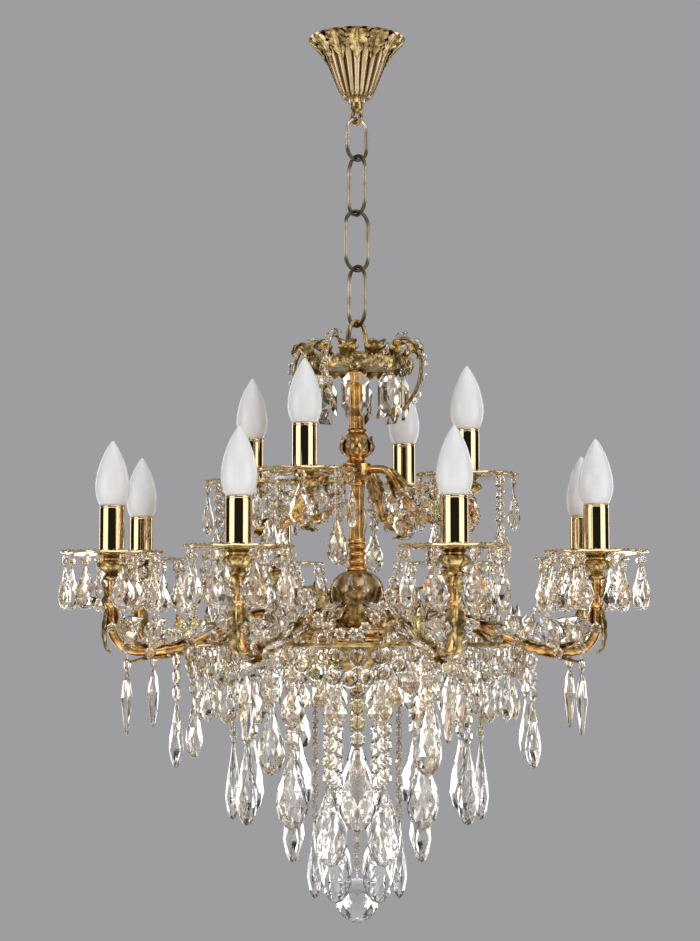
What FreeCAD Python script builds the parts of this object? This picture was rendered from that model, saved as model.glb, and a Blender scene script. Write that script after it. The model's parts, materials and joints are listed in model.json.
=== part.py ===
"""Twelve-light crystal chandelier on a chain, as an assembly of separate pieces.

Millimetres, +Z up. The origin is the centre of the two screw slots, on the ceiling.
Azimuth 0 faces -Y and grows towards +X.
"""

import FreeCAD, Part
import math
import os

from FreeCAD import Placement, Rotation, Vector

# ---------------------------------------------------------------- driving sizes
# fits
touch_gap = 0.3  # between pieces that hang on or swing against each other
slip_gap = 0.1  # round a rod or a tube in its hole

# ceiling fixing
screw_spacing = 70.0
slot_length = 12.0
slot_width = 5.2
strap_length = 87.0
strap_width = 18.0
strap_thickness = 2.0
strap_step = 8.0  # how far the middle of the strap stands off the ceiling
strap_flat = 44.0  # length of the stepped middle
nipple_radius = 5.0
nipple_bore = 3.4
nut_height = 3.5
nut_flats = 14.0
block_size = (26.0, 12.0, 13.0)  # terminal block: across the strap, along it, height
block_poles = 3

# canopy, a fluted bell
canopy_height = 65.0
canopy_rim_radius = 52.0
canopy_body_radius = 41.0  # of the straight taper, carried up to the ceiling
canopy_neck_radius = 16.0
canopy_wall = 1.5
canopy_floor = 2.5
canopy_flare = 8  # the higher, the closer to the ceiling the bell flares
flute_count = 20
flute_depth = 1.3
canopy_leaf_count = 12
canopy_leaf_thickness = 1.2
canopy_leaf_lift = 0.4  # beyond the touch gap, to clear the bell's curve
ring_nut_radius = 9.0
ring_nut_height = 5.0

# hanger eye under the canopy
eye_wire = 2.5
eye_radius = 7.5
hanger_boss_radius = 7.0
hanger_boss_height = 8.0

# chain
chain_turn = 35.0  # azimuth of the odd links' plane
link_wire = 2.0
short_link_length = 44.8  # centre to centre of its end wires
short_link_width = 25.0
long_link_length = 64.5
long_link_width = 29.0
long_link_count = 3

# loop on top of the body
loop_wire = 2.5
loop_height = 41.0
loop_top_width = 20.0
loop_foot_width = 28.0
loop_boss_radius = 10.0
loop_boss_height = 8.0

# stem
rod_radius = 5.0
rod_bore = 3.4
crown_plate_radius = 58.0
crown_plate_height = 12.0
crown_land = 9.0  # height of the plate's flat rim above its foot
upper_stem_height = 68.0
upper_stem_radius = 9.0
upper_hub_height = 50.0
upper_hub_radius = 17.0
middle_stem_height = 67.0
middle_stem_radius = 8.5
neck_height = 29.0
neck_radius = 12.0
vase_height = 60.0
vase_radius = 29.0
vase_wall = 2.5
arm_hub_height = 20.0
arm_hub_radius = 38.0
flange_thickness = 2.5  # rim under the arm hub that carries the dish strands
flange_margin = 2.5  # flange beyond the strands
strand_stand = 2.5  # strands off the dish
dish_height = 42.0
dish_radius = 38.0
dish_wall = 2.2
finial_shoulder = 11.0
finial_height = 14.0
reed_count = 12
reed_depth = 0.8

# crown
crown_leaf_count = 12
scroll_wire = 2.0
scroll_reach = 76.0
scroll_bar_count = 6
bar_width = 8.0
bar_flatness = 0.7
crown_drop_count = 8

# arms and lights
lower_arm_count = 8
upper_arm_count = 4
arm_phase = -25.0
lower_reach = 265.0
lower_rise = 84.0  # drip pan above the arm sockets of the hub
upper_reach = 126.0
upper_rise = 0.0
arm_radius = 4.5
knop_radius = 7.2
lower_knops = (0.3, 0.9)  # shares of the arm's length
upper_knops = (0.9,)
socket_depth = 6.0
cup_height = 26.0
cup_radius = 15.0
cup_socket = 9.0
spigot_radius = 4.0  # threaded foot of a lampholder, through the pan into the cup
spigot_length = 8.0
pan_radius = 52.0
pan_thickness = 1.6
pan_rise = 3.0
pan_lobes = 16
pan_lobe_depth = 1.2
pan_foot_share = 0.62  # of the radius, where the rim starts to rise
pan_drop_ring = 48.0
sleeve_height = 50.0
sleeve_radius = 13.0
sleeve_wall = 0.8
holder_radius = 11.4
holder_bore = 7.3
holder_height = 42.0
bulb_radius = 17.5
bulb_length = 66.0  # glass that shows above the sleeve
bulb_neck_radius = 11.2
bulb_neck_length = 6.0  # glass inside the sleeve
cap_radius = 6.9
cap_length = 22.0

# cut glass
bead_width = 16.0
bead_depth = 7.0
small_bead_width = 12.0
small_bead_depth = 6.0
pan_drop_count = 8
pan_drop_size = (26.0, 44.0)  # width, length
large_drop_size = (31.0, 68.0)
grand_drop_size = (38.0, 82.0)
spear_size = (18.0, 66.0)
crown_drop_size = (29.0, 46.0)
leaf_glass_size = (20.0, 36.0)
ball_radius = 23.0
hook_length = 4.0
hook_width = 1.2

# hoops and strands of the basket
hoop_wire = 2.0
outer_hoop_radius = 130.0
outer_strand_count = 12
outer_strand_beads = 7
outer_short_beads = 2
inner_hoop_radius = 72.0
inner_strand_count = 8
inner_strand_beads = 9
dish_strand_count = 6
dish_strand_beads = 11
centre_beads = 11
upper_string_beads = 4  # in every other string of an upper pan

# places along a lower arm, as shares of its reach
middle_hoop_share = 0.623
middle_strand_count = 24
middle_strand_beads = 2
arm_strand_share = 0.74
arm_strand_beads = 3
arm_drop_share = 0.936
arm_small_shares = (0.377, 0.566)
arm_swag_share = 0.698
leaf_glass_shares = (0.5, 0.59, 0.68)

# swags, as the length of the beads over the span
pan_swag_slack = 1.85
arm_swag_slack = 1.12
swag_gap = 0.8  # between the beads of a swag, where it bends
swag_end_gap = 0.5  # below a pan, so that the leaning first bead clears it
arm_swag_angle = 40.0  # how far below the arm's side a swag starts

OUT = "parts"
UP = Vector(0, 0, 1)


# ---------------------------------------------------------------- shared shapes
def polar(radius, azimuth, z=0.0):
    """Point at a radius and azimuth."""
    a = math.radians(azimuth)
    return Vector(radius * math.sin(a), -radius * math.cos(a), z)


def place(radius, azimuth, z=0.0):
    """Placement that turns +X outward at an azimuth, then moves it there."""
    return Placement(polar(radius, azimuth, z), Rotation(UP, azimuth - 90))


def put(shape, *placements):
    """Copy of a shape moved by the product of the placements, the outermost first."""
    total = Placement()
    for placement in placements:
        total = total.multiply(placement)
    moved = shape.copy()
    moved.Placement = total.multiply(shape.Placement)
    return moved


def lowered(shape, z):
    """Copy of a shape moved to height z."""
    return put(shape, Placement(Vector(0, 0, z), Rotation()))


def around(shape, count, phase=0.0):
    """Copies of a shape turned about Z to count even azimuths."""
    turns = [Placement(Vector(), Rotation(UP, phase + 360.0 * i / count)) for i in range(count)]
    return [put(shape, turn) for turn in turns]


def curve(points):
    """A straight edge through two points, or one smooth edge through more."""
    if len(points) == 2:
        return Part.LineSegment(*points).toShape()
    line = Part.BSplineCurve()
    line.interpolate(points)
    return line.toShape()


def turned(runs, bore):
    """Solid turned about Z. Each run is a list of (radius, z), smooth within itself."""
    edges = [curve([Vector(r, 0, z) for r, z in run]) for run in runs]
    first, last = runs[0][0], runs[-1][-1]
    inner_top = Vector(bore, 0, last[1])
    inner_bottom = Vector(bore, 0, first[1])
    for start, end in (
        (Vector(last[0], 0, last[1]), inner_top),
        (inner_top, inner_bottom),
        (inner_bottom, Vector(first[0], 0, first[1])),
    ):
        if start.distanceToPoint(end) > 1e-6:
            edges.append(Part.LineSegment(start, end).toShape())
    face = Part.Face(Part.Wire(Part.__sortEdges__(edges)))
    return face.revolve(Vector(), UP, 360)


def lobed_wire(radius, depth, lobes, z):
    """Closed smooth outline whose radius waves in and out by depth, lobes times."""
    count = 4 * lobes
    points = []
    for i in range(count):
        a = 2 * math.pi * i / count
        r = radius + depth * math.cos(lobes * a)
        points.append(Vector(r * math.cos(a), r * math.sin(a), z))
    outline = Part.BSplineCurve()
    outline.interpolate(points, PeriodicFlag=True)
    return Part.Wire([outline.toShape()])


def lobed(levels, lobes, ruled=False):
    """Solid through lobed outlines; each level is (z, radius, depth)."""
    wires = [lobed_wire(radius, depth, lobes, z) for z, radius, depth in levels]
    return Part.makeLoft(wires, True, ruled)


def cut_glass(levels, sides, flat=1.0):
    """Faceted solid about Z from (z, radius) levels; radius 0 is a point, flat squeezes X."""
    rings = []
    for z, radius in levels:
        if radius == 0:
            rings.append([Vector(0, 0, z)])
            continue
        angles = [2 * math.pi * (i + 0.5) / sides for i in range(sides)]
        if sides == 4:
            angles = [2 * math.pi * i / sides for i in range(sides)]
        rings.append([Vector(flat * radius * math.cos(a), radius * math.sin(a), z) for a in angles])
    outlines = []
    for low, high in zip(rings, rings[1:]):
        for i in range(sides):
            j = (i + 1) % sides
            corners = [low[i % len(low)], low[j % len(low)], high[j % len(high)], high[i % len(high)]]
            outlines.append([c for n, c in enumerate(corners) if c != corners[n - 1]])
    if len(rings[0]) > 1:
        outlines.append(rings[0][::-1])
    if len(rings[-1]) > 1:
        outlines.append(rings[-1])
    faces = [Part.Face(Part.makePolygon(corners + corners[:1])) for corners in outlines]
    solid = Part.Solid(Part.Shell(faces))
    if solid.Volume < 0:
        solid.reverse()
    return solid


def rounded(ends):
    """Wire of straight runs joined by the largest even arcs that they allow."""
    count = len(ends)
    trims = {}
    for i in range(1, count - 1):
        before = ends[i - 1] - ends[i]
        after = ends[i + 1] - ends[i]
        trim = 0.45 * min(before.Length, after.Length)
        inward, outward = Vector(before).normalize(), Vector(after).normalize()
        half = math.pi / 2 - inward.getAngle(outward) / 2
        radius = trim / math.tan(half)
        start, end = ends[i] + inward * trim, ends[i] + outward * trim
        bisector = (inward + outward).normalize()
        centre = ends[i] + bisector * (radius / math.cos(half))
        trims[i] = (start, centre - bisector * radius, end)
    edges = []
    for i in range(count - 1):
        start = trims[i][2] if i in trims else ends[i]
        end = trims[i + 1][0] if i + 1 in trims else ends[i + 1]
        if i in trims:
            edges.append(Part.Arc(*trims[i]).toShape())
        edges.append(Part.LineSegment(start, end).toShape())
    return Part.Wire(edges)


def wire_along(path, radius):
    """Round bar of one radius along a path."""
    first = path.OrderedEdges[0]
    start = first.valueAt(first.FirstParameter)
    heading = first.tangentAt(first.FirstParameter)
    profile = Part.Wire([Part.makeCircle(radius, start, heading)])
    return path.makePipeShell([profile], True, False)


def stadium(length, width, wire):
    """Chain link in the XZ plane: length and width of its centre line, top wire at z 0."""
    end = width / 2
    top, bottom = -end, end - length
    edges = [
        Part.LineSegment(Vector(end, 0, bottom), Vector(end, 0, top)).toShape(),
        Part.Arc(Vector(end, 0, top), Vector(0, 0, 0), Vector(-end, 0, top)).toShape(),
        Part.LineSegment(Vector(-end, 0, top), Vector(-end, 0, bottom)).toShape(),
        Part.Arc(Vector(-end, 0, bottom), Vector(0, 0, -length), Vector(end, 0, bottom)).toShape(),
    ]
    return wire_along(Part.Wire(edges), wire)


def leaf(stations, thickness, cup, side=1):
    """Cupped leaf; each station is (x, z, half width). Side picks which way it thickens."""
    spine = [Vector(x, 0, z) for x, z, _ in stations]
    sections = []
    for i, (_, _, half) in enumerate(stations):
        ahead = spine[min(i + 1, len(spine) - 1)] - spine[max(i - 1, 0)]
        normal = ahead.normalize().cross(Vector(0, side, 0))
        left, right = spine[i] + Vector(0, -half, 0), spine[i] + Vector(0, half, 0)
        back = spine[i] + normal * (cup * half + 0.01)
        front = back + normal * thickness
        outer = Part.Arc(left, front, right).toShape()
        inner = Part.Arc(right, back, left).toShape()
        sections.append(Part.Wire([outer, inner]))
    return Part.makeLoft(sections, True, False)


def height_under(path, x, offset):
    """Height below a path in the XZ plane, at x, that clears it by offset; above it if negative."""
    points = path.discretize(400)
    for low, high in zip(points, points[1:]):
        if min(low.x, high.x) <= x <= max(low.x, high.x):
            run = high - low
            share = (x - low.x) / run.x
            return low.z + share * run.z - offset * run.Length / abs(run.x)
    raise ValueError("the path does not pass over x")


def save(node, *shapes):
    """Writes one node from its solids."""
    solids = [solid for shape in shapes for solid in shape.Solids]
    Part.makeCompound(solids).exportStep(os.path.join(OUT, node + ".step"))
    print(node, len(solids), "solids", round(sum(s.Volume for s in solids) / 1000, 1), "cm3")


# ---------------------------------------------------------------- heights
middle_of_strap = -strap_step - strap_thickness
canopy_top = -touch_gap
canopy_bottom = canopy_top - canopy_height
hanger_top = canopy_bottom - ring_nut_height
eye_centre = hanger_top - hanger_boss_height - eye_radius + eye_wire / 2
socket_floor = eye_centre + eye_radius + eye_wire + slip_gap
chain_start = eye_centre - eye_radius + eye_wire + touch_gap + link_wire
link_step = 2 * link_wire + touch_gap  # a link's top wire above the bottom wire that holds it


def chain_heights():
    """Heights of each link's top wire, from the top link down."""
    tops = [chain_start]
    lengths = [short_link_length] + [long_link_length] * long_link_count
    for length in lengths:
        tops.append(tops[-1] - length + link_step)
    return tops[:-1], tops[-1]


link_tops, below_chain = chain_heights()
loop_top = below_chain + loop_wire - link_wire
crown_top = loop_top - loop_height
crown_bottom = crown_top - crown_plate_height
upper_hub_top = crown_bottom - upper_stem_height
upper_hub_bottom = upper_hub_top - upper_hub_height
middle_bottom = upper_hub_bottom - middle_stem_height
vase_top = middle_bottom - neck_height
arm_hub_top = vase_top - vase_height
arm_hub_middle = arm_hub_top - arm_hub_height / 2
dish_top = arm_hub_top - arm_hub_height
dish_bottom = dish_top - dish_height
finial_bottom = dish_bottom - finial_height
ball_pivot = finial_bottom - 3 * touch_gap - centre_beads * (bead_width + touch_gap)
upper_socket = upper_hub_bottom + upper_hub_height * 0.24
lower_pan = arm_hub_middle + lower_rise
upper_pan = upper_hub_bottom + upper_rise
rod_hole = rod_radius + slip_gap
strand_ring = dish_radius + strand_stand + bead_depth / 2
flange_radius = strand_ring + flange_margin


# ---------------------------------------------------------------- ceiling end
def ceiling_bracket():
    """Stepped strap: its ends lie on the ceiling, its middle holds the nipple."""
    half, flat, ramp = strap_length / 2, strap_flat / 2, strap_step
    top = [(-half, 0), (-flat - ramp, 0), (-flat, -strap_step), (flat, -strap_step), (flat + ramp, 0), (half, 0)]
    under = [(x, z - strap_thickness) for x, z in reversed(top)]
    outline = [Vector(x, -strap_width / 2, z) for x, z in top + under]
    strap = Part.Face(Part.makePolygon(outline + outline[:1])).extrude(Vector(0, strap_width, 0))
    end = slot_width / 2
    middle = slot_length / 2 - end
    for side in (-1, 1):
        slot = Part.makeBox(2 * middle, slot_width, 3 * strap_thickness, Vector(-middle, -end, 0))
        for x in (-middle, middle):
            slot = slot.fuse(Part.makeCylinder(end, 3 * strap_thickness, Vector(x, 0, 0)))
        slot.translate(Vector(side * screw_spacing / 2, 0, -2 * strap_thickness))
        strap = strap.cut(slot)
    hole = Part.makeCylinder(nipple_radius + slip_gap, strap_step + 2 * strap_thickness, Vector(0, 0, -2 * strap_step))
    return strap.cut(hole).removeSplitter()


def tube(outer, inner, top, bottom):
    """Upright tube between two heights."""
    shell = Part.makeCylinder(outer, top - bottom, Vector(0, 0, bottom))
    return shell.cut(Part.makeCylinder(inner, top - bottom, Vector(0, 0, bottom)))


def hex_nut(bottom):
    """Six-sided nut round the nipple."""
    across = nut_flats / 2 / math.cos(math.pi / 6)
    corners = [Vector(across * math.cos(a * math.pi / 3), across * math.sin(a * math.pi / 3), bottom) for a in range(6)]
    body = Part.Face(Part.makePolygon(corners + corners[:1])).extrude(Vector(0, 0, nut_height))
    return body.cut(Part.makeCylinder(nipple_radius + slip_gap, nut_height, Vector(0, 0, bottom)))


def terminal_block():
    """Block of clamp terminals under the strap, with an entry for each wire on both sides."""
    length, width, height = block_size
    top = middle_of_strap
    near = nut_flats / 2 / math.cos(math.pi / 6) + touch_gap
    block = Part.makeBox(width, length, height, Vector(near, -length / 2, top - height))
    pitch = length / block_poles
    for pole in range(block_poles):
        y = (pole + 0.5) * pitch - length / 2
        wire_hole = Part.makeCylinder(2.0, width, Vector(near, y, top - height * 0.6), Vector(1, 0, 0))
        screw_hole = Part.makeCylinder(1.8, height * 0.5, Vector(near + width / 2, y, top - height))
        block = block.cut(wire_hole).cut(screw_hole)
    return block


def bell_radius(share):
    """Radius of the canopy's outside at a share of its height, 0 at the ceiling."""
    taper = (canopy_body_radius - canopy_neck_radius) * (1 - share)
    return canopy_neck_radius + taper + (canopy_rim_radius - canopy_body_radius) * (1 - share) ** canopy_flare


def flute(share):
    """Depth of the flutes at a share of the canopy's height."""
    return flute_depth * math.sin(math.pi * share)


def canopy():
    """Fluted bell: open against the ceiling, with a flat floor that the nipple passes."""
    steps = 10
    shares = [i / steps for i in range(steps + 1)]
    levels = [(canopy_top - canopy_height * s, bell_radius(s), flute(s)) for s in shares]
    outside = lobed(levels, flute_count, True)
    wall = canopy_wall + flute_depth
    inner = [(bell_radius(s) - wall, canopy_top - canopy_height * s) for s in shares[1:-1]]
    mouth = (bell_radius(0) - wall, canopy_top + 1)
    floor = (bell_radius(1) - wall, canopy_bottom + canopy_floor)
    hollow = turned([[floor] + inner[::-1] + [mouth]], 0)
    hole = Part.makeCylinder(nipple_radius + slip_gap, canopy_height, Vector(0, 0, canopy_bottom - 1))
    return outside.cut(hollow).cut(hole)


def canopy_leaf():
    """Leaf that lies on the bell, point down, and broadens to a lip under the rim."""
    stations = []
    for share, half in ((0.5, 0.8), (0.42, 2.6), (0.34, 5.0), (0.26, 8.0), (0.18, 10.5), (0.11, 11.8)):
        lift = flute(share) + touch_gap + canopy_leaf_lift
        stations.append((bell_radius(share) + lift, canopy_top - canopy_height * share, half))
    return leaf(stations, canopy_leaf_thickness, 0.1, -1)


def ring_nut():
    """Milled nut that clamps the canopy."""
    body = lobed([(hanger_top, ring_nut_radius, 0.4), (canopy_bottom, ring_nut_radius, 0.4)], 18, True)
    return body.cut(Part.makeCylinder(nipple_radius + slip_gap, canopy_height, Vector(0, 0, hanger_top - 1)))


def hanger_eye():
    """Threaded boss with a closed eye for the first link."""
    boss_bottom = hanger_top - hanger_boss_height
    boss = turned(
        [
            [(hanger_boss_radius * 0.6, boss_bottom - eye_wire), (hanger_boss_radius, boss_bottom + 1)],
            [(hanger_boss_radius, boss_bottom + 1), (hanger_boss_radius, hanger_top)],
        ],
        0,
    )
    socket = Part.makeCylinder(nipple_radius + slip_gap, hanger_boss_height, Vector(0, 0, socket_floor))
    eye = Part.makeTorus(eye_radius, eye_wire, Vector(0, 0, eye_centre), Vector(0, 1, 0))
    eye.rotate(Vector(), UP, chain_turn + 90)
    return eye.fuse(boss.cut(socket)).removeSplitter()


def ceiling_end():
    """Everything that stays on the ceiling."""
    save("ceiling_bracket", ceiling_bracket())
    nipple_top = -strap_step + nut_height + 1.0
    save("threaded_nipple", tube(nipple_radius, nipple_bore, nipple_top, socket_floor + touch_gap))
    save("nipple_nuts", hex_nut(-strap_step), hex_nut(middle_of_strap - nut_height))
    save("terminal_block", terminal_block())
    save("canopy", canopy())
    save("canopy_leaves", *around(canopy_leaf(), canopy_leaf_count))
    save("canopy_ring_nut", ring_nut())
    save("hanger_eye", hanger_eye())


# ---------------------------------------------------------------- chain
def chain():
    """Links in turn, each square to the one that holds it."""
    short = stadium(short_link_length, short_link_width, link_wire)
    long = stadium(long_link_length, long_link_width, link_wire)
    for i, top in enumerate(link_tops):
        turn = Placement(Vector(0, 0, top), Rotation(UP, chain_turn + 90 * i))
        save(f"chain_link_{i + 1}", put(long if i else short, turn))


def body_loop():
    """Bail that hangs the body, on a boss screwed to the rod."""
    foot = crown_top + loop_boss_height / 2
    corners = [
        Vector(loop_foot_width / 2, 0, foot),
        Vector(loop_top_width / 2, 0, loop_top - loop_top_width * 0.4),
        Vector(loop_top_width * 0.22, 0, loop_top),
        Vector(-loop_top_width * 0.22, 0, loop_top),
        Vector(-loop_top_width / 2, 0, loop_top - loop_top_width * 0.4),
        Vector(-loop_foot_width / 2, 0, foot),
    ]
    bail = wire_along(rounded(corners), loop_wire)
    bail.rotate(Vector(), UP, chain_turn + 90 * len(link_tops))
    shoulder = loop_foot_width / 2 + loop_wire + 1
    boss = turned(
        [
            [(shoulder, crown_top), (shoulder, crown_top + loop_boss_height * 0.5)],
            [(shoulder, crown_top + loop_boss_height * 0.5), (loop_boss_radius, crown_top + loop_boss_height)],
        ],
        rod_hole,
    )
    return bail.fuse(boss).removeSplitter()


# ---------------------------------------------------------------- stem
def crown_plate():
    """Shallow plate, dished below, with a flat rim for the leaves and the scrolls."""
    r, top, bottom = crown_plate_radius, crown_top, crown_bottom
    under = [(upper_stem_radius + 3, bottom), (r * 0.45, bottom + 2.5), (r * 0.85, bottom + 5), (r, bottom + 7)]
    edge = [(r, bottom + 7), (r, bottom + crown_land)]
    land = [(r, bottom + crown_land), (r * 0.5, bottom + crown_land)]
    rise = [(r * 0.5, bottom + crown_land), (r * 0.38, top)]
    return turned([under, edge, land, rise], rod_hole)


def crown_leaf():
    """Leaf that stands on the plate's edge and curls outward."""
    r, z = crown_plate_radius, crown_bottom + crown_land + touch_gap
    stations = [
        (r - 16, z, 4.0),
        (r - 9, z + 3.0, 8.0),
        (r - 3, z + 8.0, 10.0),
        (r + 2, z + 13.0, 9.0),
        (r + 7, z + 14.5, 6.0),
        (r + 11, z + 11.5, 2.5),
        (r + 11.5, z + 8.5, 0.6),
    ]
    return leaf(stations, 1.4, 0.05)


def scroll_path():
    """C-shaped path of a crown scroll, from the plate out and back below it."""
    r, reach = crown_plate_radius, scroll_reach
    z = crown_bottom + crown_land + touch_gap
    corners = [
        Vector(r * 0.68, 0, z),
        Vector(r * 0.68, 0, z + 20),
        Vector(r + 4, 0, z + 24),
        Vector(reach, 0, z),
        Vector(reach - 4, 0, z - 30),
        Vector(r - 4, 0, z - 54),
    ]
    return rounded(corners)


def glass_bar(length):
    """Long faceted bar that clips along a scroll, its flats towards X."""
    half, radius = length / 2, bar_width / 2
    levels = [(-half, 0), (-half * 0.7, radius), (half * 0.7, radius), (half, 0)]
    return cut_glass(levels, 6, bar_flatness)


def scroll_bars():
    """Glass bars along the outer side of one scroll, end to end."""
    path = scroll_path()
    steps = 10  # points of the path per bar
    points = path.discretize(steps * scroll_bar_count + 7)
    length = path.Length / (scroll_bar_count + 0.6) * 0.86
    stand = scroll_wire + touch_gap + bar_flatness * bar_width / 2 * math.cos(math.pi / 6)
    bars = []
    for i in range(scroll_bar_count):
        k = steps * i + 6
        ahead = (points[k + 4] - points[k - 4]).normalize()
        outward = ahead.cross(Vector(0, 1, 0))
        lean = Rotation(Vector(0, 1, 0), math.degrees(math.atan2(ahead.x, ahead.z)))
        bars.append(put(glass_bar(length), Placement(points[k] + outward * stand, lean)))
    return bars


def reeded(top, bottom, radius):
    """Reeded column between two plain collars."""
    height = top - bottom
    collar = height * 0.09
    shaft = lobed(
        [
            (bottom + collar, radius * 0.86, reed_depth),
            (bottom + height * 0.35, radius * 0.78, reed_depth),
            (top - collar, radius * 0.86, reed_depth),
        ],
        reed_count,
    )
    hole = Part.makeCylinder(rod_hole, height, Vector(0, 0, bottom))
    rings = []
    for z in (bottom, top - collar):
        middle = z + collar / 2
        profile = [(radius, z), (radius * 1.22, middle), (radius, z + collar)]
        rings.append(turned([profile], rod_hole))
    return shaft.cut(hole).fuse(rings).removeSplitter()


def upper_hub():
    """Spool with a bulb for the arm sockets below and a vase-shaped knop above."""
    r, top, bottom, h = upper_hub_radius, upper_hub_top, upper_hub_bottom, upper_hub_height
    body = turned(
        [
            [(r * 0.55, bottom), (r * 0.75, bottom + h * 0.05), (r, bottom + h * 0.12)],
            [(r, bottom + h * 0.12), (r, bottom + h * 0.36)],
            [(r, bottom + h * 0.36), (r * 0.6, bottom + h * 0.44), (r * 0.55, bottom + h * 0.5)],
            [(r * 0.55, bottom + h * 0.5), (r * 0.95, bottom + h * 0.66), (r * 0.9, bottom + h * 0.82), (r * 0.62, top)],
        ],
        rod_hole,
    )
    return body.cut(Part.makeCompound(arm_holes(r, upper_socket, upper_arm_count)))


def arm_holes(radius, z, count):
    """Sockets round a hub for the ends of the arms."""
    hole = Part.makeCylinder(arm_radius + slip_gap, socket_depth + 2, Vector(radius - socket_depth, 0, z), Vector(1, 0, 0))
    return [put(hole, place(0, arm_phase + 360.0 * i / count)) for i in range(count)]


def neck():
    """Turned neck of three beads above the vase."""
    r, top, bottom, h = neck_radius, middle_bottom, vase_top, neck_height
    return turned(
        [
            [(r * 0.9, bottom), (r, bottom + h * 0.1), (r * 0.62, bottom + h * 0.22)],
            [(r * 0.62, bottom + h * 0.22), (r * 0.85, bottom + h * 0.36), (r * 0.62, bottom + h * 0.5)],
            [(r * 0.62, bottom + h * 0.5), (r * 0.85, bottom + h * 0.64), (r * 0.62, bottom + h * 0.78)],
            [(r * 0.62, bottom + h * 0.78), (r * 0.95, bottom + h * 0.9), (r * 0.8, top)],
        ],
        rod_hole,
    )


def vase():
    """Hollow urn that the rod passes through."""
    r, top, bottom, h, w = vase_radius, vase_top, arm_hub_top, vase_height, vase_wall
    outside = [
        (r * 0.52, bottom),
        (r * 0.66, bottom + h * 0.1),
        (r * 0.9, bottom + h * 0.36),
        (r, bottom + h * 0.62),
        (r * 0.86, bottom + h * 0.84),
        (r * 0.46, top),
    ]
    inside = [(x - w * 1.2, z) for x, z in outside[1:-1]]
    body = turned([outside], rod_hole)
    foot, mouth = bottom + w * 1.4, top - w * 1.4
    hollow = turned([[(rod_hole + 1, foot)] + inside + [(rod_hole + 1, mouth)]], 0)
    return body.cut(hollow)


def vase_leaf():
    """Leaf that rises from the vase's foot over its belly."""
    r, bottom, h = vase_radius, arm_hub_top, vase_height
    lift = touch_gap + 0.1
    stations = [
        (r * 0.66 + lift, bottom + h * 0.1, 4.0),
        (r * 0.80 + lift, bottom + h * 0.22, 6.0),
        (r * 0.92 + lift, bottom + h * 0.38, 7.0),
        (r * 1.00 + lift, bottom + h * 0.54, 5.0),
        (r * 1.04 + lift, bottom + h * 0.66, 0.8),
    ]
    return leaf(stations, 1.0, 0.1, -1)


def arm_hub():
    """Drum that holds the lower arms, with a flange below the sockets for the dish strands."""
    r, top, bottom = arm_hub_radius, arm_hub_top, dish_top
    moulding = arm_hub_height * 0.18
    body = turned(
        [
            [(flange_radius, bottom), (flange_radius, bottom + flange_thickness)],
            [(flange_radius, bottom + flange_thickness), (r - 1, bottom + flange_thickness + 1)],
            [(r - 1, bottom + flange_thickness + 1), (r - 1, top - moulding)],
            [(r - 1, top - moulding), (r + 1, top - moulding / 2), (r - 3, top)],
        ],
        rod_hole,
    )
    return body.cut(Part.makeCompound(arm_holes(r, arm_hub_middle, lower_arm_count)))


def hub_leaf():
    """Tall leaf that springs from the hub between two arms."""
    r, z = arm_hub_radius, arm_hub_top
    stations = [
        (r - 10, z + touch_gap, 6.0),
        (r - 2, z + 2.5, 9.0),
        (r + 7, z + 13, 12.0),
        (r + 15, z + 27, 11.0),
        (r + 24, z + 39, 7.0),
        (r + 33, z + 43, 3.0),
        (r + 37, z + 41, 0.8),
    ]
    return leaf(stations, 1.6, 0.25)


def dish_outline():
    """Outside of the lower dish, from its foot to its rim."""
    r, z, h = dish_radius, dish_bottom, dish_height
    return [(finial_shoulder, z), (r * 0.42, z + h * 0.22), (r * 0.62, z + h * 0.45), (r * 0.88, z + h * 0.78), (r, dish_top)]


def lower_dish():
    """Hollow bowl that the hub closes, with a boss for the rod in its foot."""
    outside = dish_outline()
    body = turned([outside], rod_hole)
    inside = [(x - dish_wall * 1.3, z + dish_wall) for x, z in outside[1:-1]]
    floor = (rod_hole + 1, outside[1][1])
    mouth = (dish_radius - dish_wall * 1.3, dish_top + 1)
    return body.cut(turned([[floor] + inside + [mouth]], 0))


def dish_leaf():
    """Leaf on the outside of the dish, tip down."""
    stations = []
    for (x, z), half in zip(dish_outline()[::-1], (6.5, 6.5, 5.0, 3.0, 0.7)):
        stations.append((x + touch_gap + 0.5, z - touch_gap - 0.5, half))
    return leaf(stations, 1.0, 0.1)


def finial():
    """Turned nut that closes the foot of the stem."""
    top, bottom, h = dish_bottom, finial_bottom, finial_height
    body = turned(
        [
            [(2.5, bottom), (6.5, bottom + h * 0.25), (8, bottom + h * 0.45), (4.5, bottom + h * 0.65)],
            [(4.5, bottom + h * 0.65), (finial_shoulder - 1, bottom + h * 0.85), (finial_shoulder - 1, top)],
        ],
        0,
    )
    return body.cut(Part.makeCylinder(rod_hole, h * 0.3, Vector(0, 0, top - h * 0.3)))


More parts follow.
